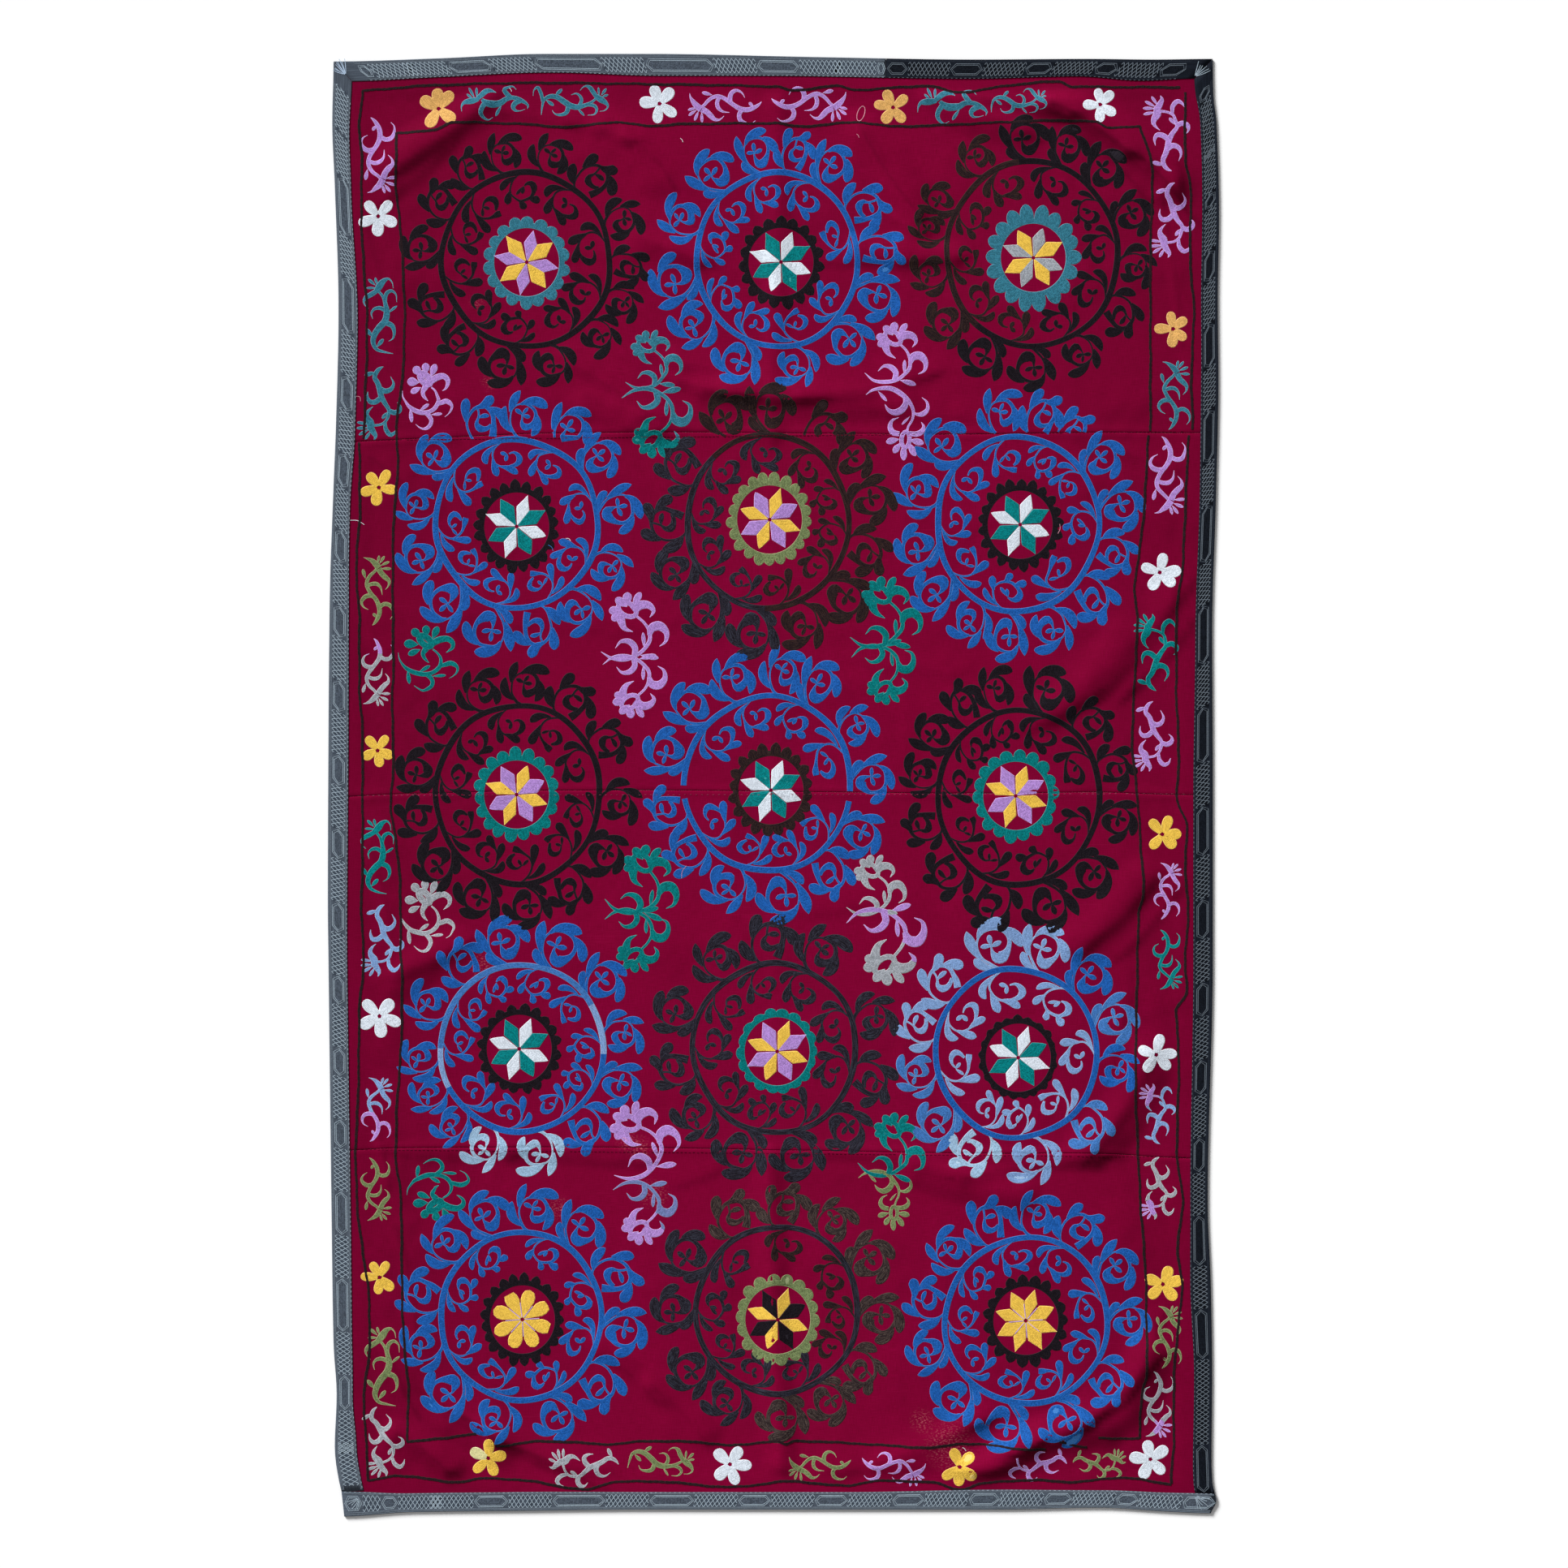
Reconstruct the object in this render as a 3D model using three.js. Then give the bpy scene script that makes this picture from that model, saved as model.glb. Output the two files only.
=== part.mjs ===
// A hand-embroidered cover of cotton cloth, lying flat on its back with the worked face up.
// Four cut panels are sewn edge to edge, and a patterned tape is folded round the whole edge.
// Millimetres. X runs across the cover, Y along it and Z up. The origin is on the surface it
// lies on, under the middle of its outline.

import * as THREE from 'three';

// Driving sizes
const CLOTH_THICKNESS = 1.0;
const TAPE_THICKNESS = 1.0;
const AIR = 0.3;                 // between neighbouring pieces, where thread draws them together
const CLOTH_SHORT_OF_FOLD = 2.5; // from the tape's outer fold in to the cloth's cut edge
const FOLD_ROUNDING = 0.7;       // the tape's outer fold, seen in section
const SEAM_RISE = 1.3;           // the turned-in seam allowance lifts the cloth this much
const SEAM_SPREAD = 14;
const TAPE_FLAT_TO = 44;         // the cloth stays level this far in, under the tape
const TAPE_SLOPE_TO = 68;        // and is down on the surface from here on
const CLOTH_COLUMNS = 30;
const LONG_TAPE_STEPS = 36;
const SHORT_TAPE_STEPS = 22;

// Each edge of the outline, as uneven as the cover is.
// at: place along the edge. edge: how far out the edge is there. tape: how wide the tape is there.
const LEFT = [
  { at: -1160, edge: -682, tape: 36 },
  { at: -1130, edge: -683, tape: 36 },
  { at: -1115, edge: -688, tape: 36 },
  { at: -1049, edge: -697, tape: 35 },
  { at: -967, edge: -694, tape: 26 },
  { at: -884, edge: -699, tape: 30 },
  { at: -687, edge: -702, tape: 31 },
  { at: -274, edge: -707, tape: 30 },
  { at: -185, edge: -708, tape: 31 },
  { at: 77, edge: -707, tape: 32 },
  { at: 295, edge: -705, tape: 31 },
  { at: 475, edge: -699, tape: 28 },
  { at: 575, edge: -695, tape: 31 },
  { at: 755, edge: -691, tape: 31 },
  { at: 953, edge: -697, tape: 26 },
  { at: 1052, edge: -701, tape: 27 },
  { at: 1150, edge: -699, tape: 30 },
];
const RIGHT = [
  { at: -1157, edge: 695, tape: 33 },
  { at: -1137, edge: 704, tape: 33 },
  { at: -1113, edge: 698, tape: 31 },
  { at: -1075, edge: 696, tape: 30 },
  { at: -937, edge: 697, tape: 29 },
  { at: -799, edge: 695, tape: 33 },
  { at: -661, edge: 690, tape: 28 },
  { at: -277, edge: 698, tape: 31 },
  { at: 0, edge: 698, tape: 31 },
  { at: 244, edge: 697, tape: 27 },
  { at: 452, edge: 703, tape: 26 },
  { at: 642, edge: 707, tape: 28 },
  { at: 770, edge: 706, tape: 27 },
  { at: 908, edge: 708, tape: 27 },
  { at: 1052, edge: 704, tape: 26 },
  { at: 1097, edge: 699, tape: 26 },
  { at: 1154, edge: 698, tape: 30 },
];
const BOTTOM = [
  { at: -682, edge: -1162, tape: 40 },
  { at: -575, edge: -1155, tape: 30 },
  { at: -400, edge: -1153, tape: 30 },
  { at: -197, edge: -1151, tape: 28 },
  { at: 115, edge: -1151, tape: 28 },
  { at: 360, edge: -1151, tape: 32 },
  { at: 517, edge: -1148, tape: 28 },
  { at: 622, edge: -1154, tape: 30 },
  { at: 695, edge: -1157, tape: 32 },
];
const TOP = [
  { at: -699, edge: 1150, tape: 32 },
  { at: -529, edge: 1155, tape: 30 },
  { at: -365, edge: 1162, tape: 30 },
  { at: -197, edge: 1162, tape: 35 },
  { at: 66, edge: 1157, tape: 31 },
  { at: 319, edge: 1153, tape: 31 },
  { at: 500, edge: 1154, tape: 28 },
  { at: 604, edge: 1153, tape: 34 },
  { at: 698, edge: 1154, tape: 31 },
];

// The seams between the panels, from the foot of the cover to its head, at either end of each.
const SEAMS = [
  { left: -581, right: -594 },
  { left: -19, right: -16 },
  { left: 545, right: 560 },
];

// The panels, from the foot of the cover to its head, and the steps that each is built in.
const PANELS = [
  { name: 'panel_4', rows: 14 },
  { name: 'panel_3', rows: 11 },
  { name: 'panel_2', rows: 11 },
  { name: 'panel_1', rows: 14 },
];

// The main folds: soft ridges from one point to another that bow to one side.
// height: of the crest. spread: from the crest to where the ridge has mostly died away.
const FOLDS = [
  { name: 'head left, slanting', x1: -615, y1: 980, x2: -463, y2: 1075, bow: 8, height: 5, spread: 24 },
  { name: 'head left of middle', x1: -268, y1: 1046, x2: -190, y2: 960, bow: 6, height: 4, spread: 22 },
  { name: 'head middle, long', x1: 150, y1: 1040, x2: 236, y2: 888, bow: 12, height: 6, spread: 24 },
  { name: 'head right, upper', x1: 250, y1: 1098, x2: 392, y2: 1040, bow: -8, height: 5, spread: 22 },
  { name: 'head right, to the edge', x1: 440, y1: 1092, x2: 636, y2: 960, bow: 16, height: 7, spread: 26 },
  { name: 'left storage line', x1: -210, y1: 858, x2: -120, y2: 842, bow: 0, height: 3, spread: 20 },
  { name: 'right storage line', x1: 140, y1: 852, x2: 285, y2: 838, bow: 4, height: 4, spread: 20 },
  { name: 'above the first seam', x1: -110, y1: 628, x2: 196, y2: 612, bow: -8, height: 4, spread: 22 },
  { name: 'first seam pucker', x1: -300, y1: 604, x2: -190, y2: 568, bow: 0, height: 4, spread: 20 },
  { name: 'second panel, right', x1: 556, y1: 232, x2: 436, y2: 122, bow: 8, height: 5, spread: 26 },
  { name: 'third panel, right', x1: 580, y1: -150, x2: 482, y2: -248, bow: 8, height: 5, spread: 26 },
  { name: 'third panel, left', x1: -498, y1: -254, x2: -592, y2: -312, bow: -6, height: 4, spread: 24 },
  { name: 'third panel, far right', x1: 590, y1: -430, x2: 506, y2: -572, bow: 22, height: 6, spread: 28 },
  { name: 'under the third seam', x1: 230, y1: -612, x2: 392, y2: -650, bow: -6, height: 6, spread: 24 },
  { name: 'foot left, outer', x1: -600, y1: -1030, x2: -516, y2: -1086, bow: 6, height: 5, spread: 20 },
  { name: 'foot left, inner', x1: -512, y1: -1012, x2: -440, y2: -1056, bow: 4, height: 4, spread: 20 },
  { name: 'foot middle, upper', x1: -270, y1: -888, x2: -190, y2: -950, bow: 8, height: 4, spread: 22 },
  { name: 'foot middle, lower', x1: -190, y1: -948, x2: -112, y2: -1024, bow: 8, height: 4, spread: 22 },
  { name: 'foot right of middle', x1: 176, y1: -1088, x2: 326, y2: -1010, bow: -10, height: 5, spread: 24 },
  { name: 'foot right, rising', x1: 330, y1: -1094, x2: 520, y2: -1018, bow: 10, height: 7, spread: 26 },
  { name: 'foot right, turning up', x1: 520, y1: -1018, x2: 600, y2: -905, bow: -18, height: 7, spread: 26 },
  { name: 'middle storage line, head', x1: 4, y1: 1080, x2: -8, y2: 560, bow: 4, height: 3, spread: 18 },
  { name: 'middle storage line, foot', x1: -8, y1: -600, x2: 12, y2: -1080, bow: -6, height: 4, spread: 20 },
];
const FOLD_CURVE_STEPS = 10;

// Colours
const CRIMSON = 0x8c0a35;
const GREY_TAPE = 0x6a7886;
const NAVY_TAPE = 0x2e343f;

const mix = (a, b, t) => a + (b - a) * t;

function smooth(t) {
  const s = Math.min(1, Math.max(0, t));
  return s * s * (3 - 2 * s);
}

// A column of a table at any place, through its rows without overshoot.
function through(table, column, at) {
  const last = table.length - 1;
  const here = Math.min(table[last].at, Math.max(table[0].at, at));
  let i = 0;
  while (i < last - 1 && here > table[i + 1].at) i += 1;
  const slope = (k) => {
    if (k < 0 || k >= last) return 0;
    return (table[k + 1][column] - table[k][column]) / (table[k + 1].at - table[k].at);
  };
  const tangent = (k) => {
    const before = slope(k - 1);
    const after = slope(k);
    return before * after <= 0 ? 0 : (2 * before * after) / (before + after);
  };
  const step = table[i + 1].at - table[i].at;
  const t = (here - table[i].at) / step;
  const t2 = t * t;
  const t3 = t2 * t;
  return (2 * t3 - 3 * t2 + 1) * table[i][column]
    + (t3 - 2 * t2 + t) * step * tangent(i)
    + (3 * t2 - 2 * t3) * table[i + 1][column]
    + (t3 - t2) * step * tangent(i + 1);
}

// A table's column at a fraction of the way along its edge.
function along(table, column, fraction) {
  return through(table, column, mix(table[0].at, table[table.length - 1].at, fraction));
}

// The place on the cover at fraction u across and v up its outline.
function place(u, v) {
  const x = mix(along(LEFT, 'edge', v), along(RIGHT, 'edge', v), u);
  const y = mix(along(BOTTOM, 'edge', u), along(TOP, 'edge', u), v);
  return { x, y };
}

const WIDTH = along(RIGHT, 'edge', 0.5) - along(LEFT, 'edge', 0.5);
const LENGTH = along(TOP, 'edge', 0.5) - along(BOTTOM, 'edge', 0.5);

// Height of the folds at a place. Each ridge is a bell in section that dies away at both ends,
// and where two ridges meet the higher one carries the cloth.
const BELL_REACH = 2;            // a fold has died away this many spreads from its crest
const MEETING = 3;               // the higher this power, the more the higher ridge alone counts
const foldCurves = FOLDS.map((fold) => {
  const start = new THREE.Vector2(fold.x1, fold.y1);
  const end = new THREE.Vector2(fold.x2, fold.y2);
  const run = end.clone().sub(start).normalize();
  const middle = start.clone().add(end).multiplyScalar(0.5);
  middle.add(new THREE.Vector2(-run.y, run.x).multiplyScalar(2 * fold.bow));
  const curve = new THREE.QuadraticBezierCurve(start, middle, end);
  return { fold, points: curve.getPoints(FOLD_CURVE_STEPS) };
});

function foldHeight(x, y) {
  let height = 0;
  for (const { fold, points } of foldCurves) {
    let nearest = Infinity;
    for (let i = 0; i < points.length - 1; i += 1) {
      const dx = points[i + 1].x - points[i].x;
      const dy = points[i + 1].y - points[i].y;
      const t = ((x - points[i].x) * dx + (y - points[i].y) * dy) / (dx * dx + dy * dy);
      const s = Math.min(1, Math.max(0, t));
      nearest = Math.min(nearest, Math.hypot(x - points[i].x - s * dx, y - points[i].y - s * dy));
    }
    const ratio = Math.min(1, nearest / (BELL_REACH * fold.spread));
    height += (fold.height * (1 - ratio ** 2) ** 3) ** MEETING;
  }
  return height ** (1 / MEETING);
}

// Height of the cloth's back above the surface at fraction u across and v up the outline.
function clothHeight(u, v, fromSeam) {
  const inward = Math.min(u * WIDTH, (1 - u) * WIDTH, v * LENGTH, (1 - v) * LENGTH);
  const down = smooth((inward - TAPE_FLAT_TO) / (TAPE_SLOPE_TO - TAPE_FLAT_TO));
  const { x, y } = place(u, v);
  const seam = SEAM_RISE * (1 - smooth(fromSeam / SEAM_SPREAD));
  const onSurface = foldHeight(x, y) + seam;
  return mix(TAPE_THICKNESS + AIR, onSurface, down);
}

// A closed mesh whose faces all point out of it.
function solid(name, points, faces, material) {
  let volume = 0;
  for (const [a, b, c] of faces) {
    volume += points[a].dot(points[b].clone().cross(points[c]));
  }
  const outward = volume > 0 ? faces : faces.map(([a, b, c]) => [a, c, b]);
  const geometry = new THREE.BufferGeometry().setFromPoints(points);
  geometry.setIndex(outward.flat());
  geometry.computeVertexNormals();
  const mesh = new THREE.Mesh(geometry, material);
  mesh.name = name;
  return mesh;
}

// A panel of cloth: its back follows the surface and the folds, and its face is one thickness up.
function clothPanel(name, grid, material) {
  const across = grid[0].length;
  const points = [];
  for (const lift of [0, CLOTH_THICKNESS]) {
    for (const row of grid) {
      for (const p of row) points.push(new THREE.Vector3(p.x, p.y, p.z + lift));
    }
  }
  const face = grid.length * across;
  const faces = [];
  const wall = (a, b) => faces.push([a, b, b + face], [a, b + face, a + face]);
  for (let i = 0; i < grid.length - 1; i += 1) {
    for (let j = 0; j < across - 1; j += 1) {
      const a = i * across + j;
      const c = a + across + 1;
      faces.push([a, c, a + 1], [a, a + across, c]);
      faces.push([face + a, face + a + 1, face + c], [face + a, face + c, face + a + across]);
    }
    wall((i + 1) * across, i * across);
    wall(i * across + across - 1, (i + 1) * across + across - 1);
  }
  const top = (grid.length - 1) * across;
  for (let j = 0; j < across - 1; j += 1) {
    wall(j, j + 1);
    wall(top + j + 1, top + j);
  }
  return solid(name, points, faces, material);
}

// A folded tape: one section swept along its edge of the cover, closed at both ends.
function sweep(name, rings, section, material) {
  const sides = section.length;
  const points = rings.flat();
  const faces = [];
  for (let k = 0; k < rings.length - 1; k += 1) {
    for (let j = 0; j < sides; j += 1) {
      const a = k * sides + j;
      const b = k * sides + ((j + 1) % sides);
      faces.push([a, b, b + sides], [a, b + sides, a + sides]);
    }
  }
  const winding = Math.sign(THREE.ShapeUtils.area(section));
  const last = (rings.length - 1) * sides;
  for (const [a, b, c] of THREE.ShapeUtils.triangulateShape(section, [])) {
    const forward = Math.sign(THREE.ShapeUtils.area([section[a], section[b], section[c]])) === winding;
    const [p, q] = forward ? [b, c] : [c, b];
    faces.push([a, q, p], [last + a, last + p, last + q]);
  }
  return solid(name, points, faces, material);
}

const range = (count) => Array.from({ length: count + 1 }, (_, k) => k / count);

// Fractions across the cover: close together by the tapes, even between them.
const nearTape = [CLOTH_SHORT_OF_FOLD, TAPE_FLAT_TO / 2, TAPE_FLAT_TO];
const columns = [
  ...nearTape.map((d) => d / WIDTH),
  ...range(CLOTH_COLUMNS).map((t) => mix(TAPE_SLOPE_TO / WIDTH, 1 - TAPE_SLOPE_TO / WIDTH, t)),
  ...nearTape.map((d) => 1 - d / WIDTH).reverse(),
];

// The fraction up the outline of a seam, at fraction u across.
function seamAt(seam, u) {
  const foot = mix(BOTTOM[0].edge, BOTTOM[BOTTOM.length - 1].edge, u);
  const head = mix(TOP[0].edge, TOP[TOP.length - 1].edge, u);
  return (mix(seam.left, seam.right, u) - foot) / (head - foot);
}

// One panel's rows of points, from its lower edge to its upper one.
function panelGrid(panel, number) {
  const below = SEAMS[number - 1];
  const above = SEAMS[number];
  const gap = AIR / 2 / LENGTH;
  const nearSeam = SEAM_SPREAD / LENGTH;
  const lowStops = below ? [gap, nearSeam] : nearTape.map((d) => d / LENGTH);
  const highStops = above ? [nearSeam, gap] : nearTape.map((d) => d / LENGTH).reverse();
  const lowInner = below ? 2 * nearSeam : TAPE_SLOPE_TO / LENGTH;
  const highInner = above ? 2 * nearSeam : TAPE_SLOPE_TO / LENGTH;
  const steps = [
    ...lowStops.map((d) => (low) => low + d),
    ...range(panel.rows).map((t) => (low, high) => mix(low + lowInner, high - highInner, t)),
    ...highStops.map((d) => (low, high) => high - d),
  ];
  return steps.map((step) => columns.map((u) => {
    const low = below ? seamAt(below, u) : 0;
    const high = above ? seamAt(above, u) : 1;
    const v = step(low, high);
    const toSeam = Math.min(below ? v - low : 1, above ? high - v : 1) * LENGTH;
    return { ...place(u, v), z: clothHeight(u, v, toSeam) };
  }));
}

// The tape's section, from its outer fold in: two legs with the cloth's edge between them.
// wall: millimetres in from the fold. leg: how far across the tape's width from there. z: height.
const TOP_OF_TAPE = 2 * TAPE_THICKNESS + 2 * AIR + CLOTH_THICKNESS;
const tapeSection = [
  { wall: FOLD_ROUNDING, leg: 0, z: 0 },
  { wall: 0, leg: 0, z: FOLD_ROUNDING },
  { wall: 0, leg: 0, z: TOP_OF_TAPE - FOLD_ROUNDING },
  { wall: FOLD_ROUNDING, leg: 0, z: TOP_OF_TAPE },
  { wall: 0, leg: 1, z: TOP_OF_TAPE },
  { wall: 0, leg: 1, z: TOP_OF_TAPE - TAPE_THICKNESS },
  { wall: TAPE_THICKNESS, leg: 0, z: TOP_OF_TAPE - TAPE_THICKNESS },
  { wall: TAPE_THICKNESS, leg: 0, z: TAPE_THICKNESS },
  { wall: 0, leg: 1, z: TAPE_THICKNESS },
  { wall: 0, leg: 1, z: 0 },
];
const NOMINAL_TAPE = 30;
const flatSection = tapeSection.map((p) => new THREE.Vector2(p.wall + p.leg * NOMINAL_TAPE, p.z));

// For each edge of the cover: the place at depth d in from it, a fraction t of the way along it.
const EDGES = {
  left: { table: LEFT, run: LENGTH, steps: LONG_TAPE_STEPS, at: (t, d) => place(d / WIDTH, t) },
  right: { table: RIGHT, run: LENGTH, steps: LONG_TAPE_STEPS, at: (t, d) => place(1 - d / WIDTH, t) },
  bottom: { table: BOTTOM, run: WIDTH, steps: SHORT_TAPE_STEPS, at: (t, d) => place(t, d / LENGTH) },
  top: { table: TOP, run: WIDTH, steps: SHORT_TAPE_STEPS, at: (t, d) => place(t, 1 - d / LENGTH) },
};

// The tapes. from and to are fractions along the edge. An end is cut on the slant where two tapes
// meet in a mitre: mitreFrom and mitreTo are the other tape's width there.
const headLeft = LEFT[LEFT.length - 1].tape;
const headRight = RIGHT[RIGHT.length - 1].tape;
const MITRE = TOP[0].tape;
const footLeft = BOTTOM[0].tape / LENGTH;
const footRight = BOTTOM[BOTTOM.length - 1].tape / LENGTH;
const COLOUR_CHANGE = 0.6285;    // along the head edge, where the grey tape meets the navy one
const TAPES = [
  { name: 'binding_left', edge: 'left', from: footLeft, to: 1, mitreFrom: 0, mitreTo: MITRE, grey: true },
  { name: 'binding_right', edge: 'right', from: footRight, to: 1, mitreFrom: 0, mitreTo: MITRE, grey: false },
  { name: 'binding_bottom', edge: 'bottom', from: 0, to: 1, mitreFrom: 0, mitreTo: 0, grey: true },
  {
    name: 'binding_top_grey', edge: 'top', from: 0, to: COLOUR_CHANGE,
    mitreFrom: headLeft, mitreTo: 0, grey: true,
  },
  {
    name: 'binding_top_navy', edge: 'top', from: COLOUR_CHANGE, to: 1,
    mitreFrom: 0, mitreTo: headRight, grey: false,
  },
];

function tapeRings(tape) {
  const { table, run, steps: fullSteps, at } = EDGES[tape.edge];
  const steps = Math.ceil(fullSteps * (tape.to - tape.from));
  const startGap = (tape.mitreFrom || tape.from > 0 ? AIR : 0) * Math.SQRT1_2 / run;
  const endGap = (tape.mitreTo || tape.to < 1 ? AIR : 0) * Math.SQRT1_2 / run;
  return range(steps).map((t) => {
    const outer = mix(tape.from + startGap, tape.to - endGap, t);
    const slant = mix(tape.mitreFrom, -tape.mitreTo, t) / run;
    const width = along(table, 'tape', outer);
    return tapeSection.map((p) => {
      const depth = p.wall + p.leg * width;
      const point = at(outer + slant * depth / width, depth);
      return new THREE.Vector3(point.x, point.y, p.z);
    });
  });
}

const cotton = new THREE.MeshStandardMaterial({ color: CRIMSON, roughness: 0.9, metalness: 0 });
const greyTape = new THREE.MeshStandardMaterial({ color: GREY_TAPE, roughness: 0.85, metalness: 0 });
const navyTape = new THREE.MeshStandardMaterial({ color: NAVY_TAPE, roughness: 0.85, metalness: 0 });

const cover = new THREE.Group();
cover.name = 'embroidered_cover';
PANELS.forEach((panel, number) => {
  cover.add(clothPanel(panel.name, panelGrid(panel, number), cotton));
});
for (const tape of TAPES) {
  cover.add(sweep(tape.name, tapeRings(tape), flatSection, tape.grey ? greyTape : navyTape));
}

export default cover;
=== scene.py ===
import math

import bpy
import numpy as np
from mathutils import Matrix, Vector


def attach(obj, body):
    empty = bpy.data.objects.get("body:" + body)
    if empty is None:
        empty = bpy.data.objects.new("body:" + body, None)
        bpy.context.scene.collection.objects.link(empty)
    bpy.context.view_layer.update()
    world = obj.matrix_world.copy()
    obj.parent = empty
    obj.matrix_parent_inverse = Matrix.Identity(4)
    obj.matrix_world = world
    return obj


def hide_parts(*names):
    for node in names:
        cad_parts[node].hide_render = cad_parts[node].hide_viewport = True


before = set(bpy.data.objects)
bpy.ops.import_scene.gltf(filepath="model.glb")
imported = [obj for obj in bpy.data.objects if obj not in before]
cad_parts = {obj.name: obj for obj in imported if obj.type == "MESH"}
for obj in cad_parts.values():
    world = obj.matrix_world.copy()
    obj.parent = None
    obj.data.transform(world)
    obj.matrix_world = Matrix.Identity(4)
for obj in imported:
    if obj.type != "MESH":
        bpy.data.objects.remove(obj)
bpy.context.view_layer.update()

random = np.random.default_rng(11)
MM = 0.001

# sizes, in millimetres
CLOTH_THICKNESS = 1.0
TAPE_THICKNESS = 1.0
AIR = 0.3
CLOTH_SHORT_OF_FOLD = 2.5
SEAM_RISE = 1.3
SEAM_SPREAD = 14
TAPE_FLAT_TO = 44
TAPE_SLOPE_TO = 68
CREASED_FROM = 34        # how far in from the edge the creases start, and over how far they grow
CREASED_OVER = 30
TURNED_AT_SEAM = 0.9     # how far the cloth turns down into a seam, and how near to it
TURNED_WITHIN = 3.2
TOP_OF_TAPE = 2 * TAPE_THICKNESS + 2 * AIR + CLOTH_THICKNESS
GRID_STEP = 6.5          # between the points of the cloth
THREAD_SINK = 0.15       # how deep a stitched shape's rim lies in the cloth
FINEST_HALF = 0.05       # the least half width of a stitched line
BRIGHTNESS = 1.17        # light on a level surface, where 1 shows its own colour
KEY_FROM = (-1.22, 1.52, 0.94)
KEY_SHARE = 0.84         # of the light on a level surface
KEY_SOFTNESS = 22        # degrees across


def table(columns, *rows):
    """Rows under named columns."""
    names = columns.split()
    return [dict(zip(names, row)) for row in rows]


# The outline. at: place along the edge. edge: how far out the edge is. tape: how wide the tape is.
LEFT = table("at edge tape", (-1160, -682, 36), (-1130, -683, 36), (-1115, -688, 36), (-1049, -697, 35),
    (-967, -694, 26), (-884, -699, 30), (-687, -702, 31), (-274, -707, 30), (-185, -708, 31), (77, -707, 32),
    (295, -705, 31), (475, -699, 28), (575, -695, 31), (755, -691, 31), (953, -697, 26), (1052, -701, 27),
    (1150, -699, 30))
RIGHT = table("at edge tape", (-1157, 695, 33), (-1137, 704, 33), (-1113, 698, 31), (-1075, 696, 30),
    (-937, 697, 29), (-799, 695, 33), (-661, 690, 28), (-277, 698, 31), (0, 698, 31), (244, 697, 27),
    (452, 703, 26), (642, 707, 28), (770, 706, 27), (908, 708, 27), (1052, 704, 26), (1097, 699, 26),
    (1154, 698, 30))
BOTTOM = table("at edge tape", (-682, -1162, 40), (-575, -1155, 30), (-400, -1153, 30), (-197, -1151, 28),
    (115, -1151, 28), (360, -1151, 32), (517, -1148, 28), (622, -1154, 30), (695, -1157, 32))
TOP = table("at edge tape", (-699, 1150, 32), (-529, 1155, 30), (-365, 1162, 30), (-197, 1162, 35),
    (66, 1157, 31), (319, 1153, 31), (500, 1154, 28), (604, 1153, 34), (698, 1154, 31))

# The cross seams, from the foot of the cover to its head, at either end of each.
SEAMS = table("left right", (-581, -594), (-19, -16), (545, 560))

# The main folds: ridges from one point to another that bow to one side.
FOLDS = table("x1 y1 x2 y2 bow height spread",
    (-615, 980, -463, 1075, 8, 5, 24), (-268, 1046, -190, 960, 6, 4, 22), (150, 1040, 236, 888, 12, 6, 24),
    (250, 1098, 392, 1040, -8, 5, 22), (440, 1092, 636, 960, 16, 7, 26), (-210, 858, -120, 842, 0, 3, 20),
    (140, 852, 285, 838, 4, 4, 20), (-110, 628, 196, 612, -8, 4, 22), (-300, 604, -190, 568, 0, 4, 20),
    (556, 232, 436, 122, 8, 5, 26), (580, -150, 482, -248, 8, 5, 26), (-498, -254, -592, -312, -6, 4, 24),
    (590, -430, 506, -572, 22, 6, 28), (230, -612, 392, -650, -6, 6, 24),
    (-600, -1030, -516, -1086, 6, 5, 20), (-512, -1012, -440, -1056, 4, 4, 20),
    (-270, -888, -190, -950, 8, 4, 22), (-190, -948, -112, -1024, 8, 4, 22),
    (176, -1088, 326, -1010, -10, 5, 24), (330, -1094, 520, -1018, 10, 7, 26),
    (520, -1018, 600, -905, -18, 7, 26), (4, 1080, -8, 560, 4, 3, 18), (-8, -600, 12, -1080, -6, 4, 20))
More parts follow.
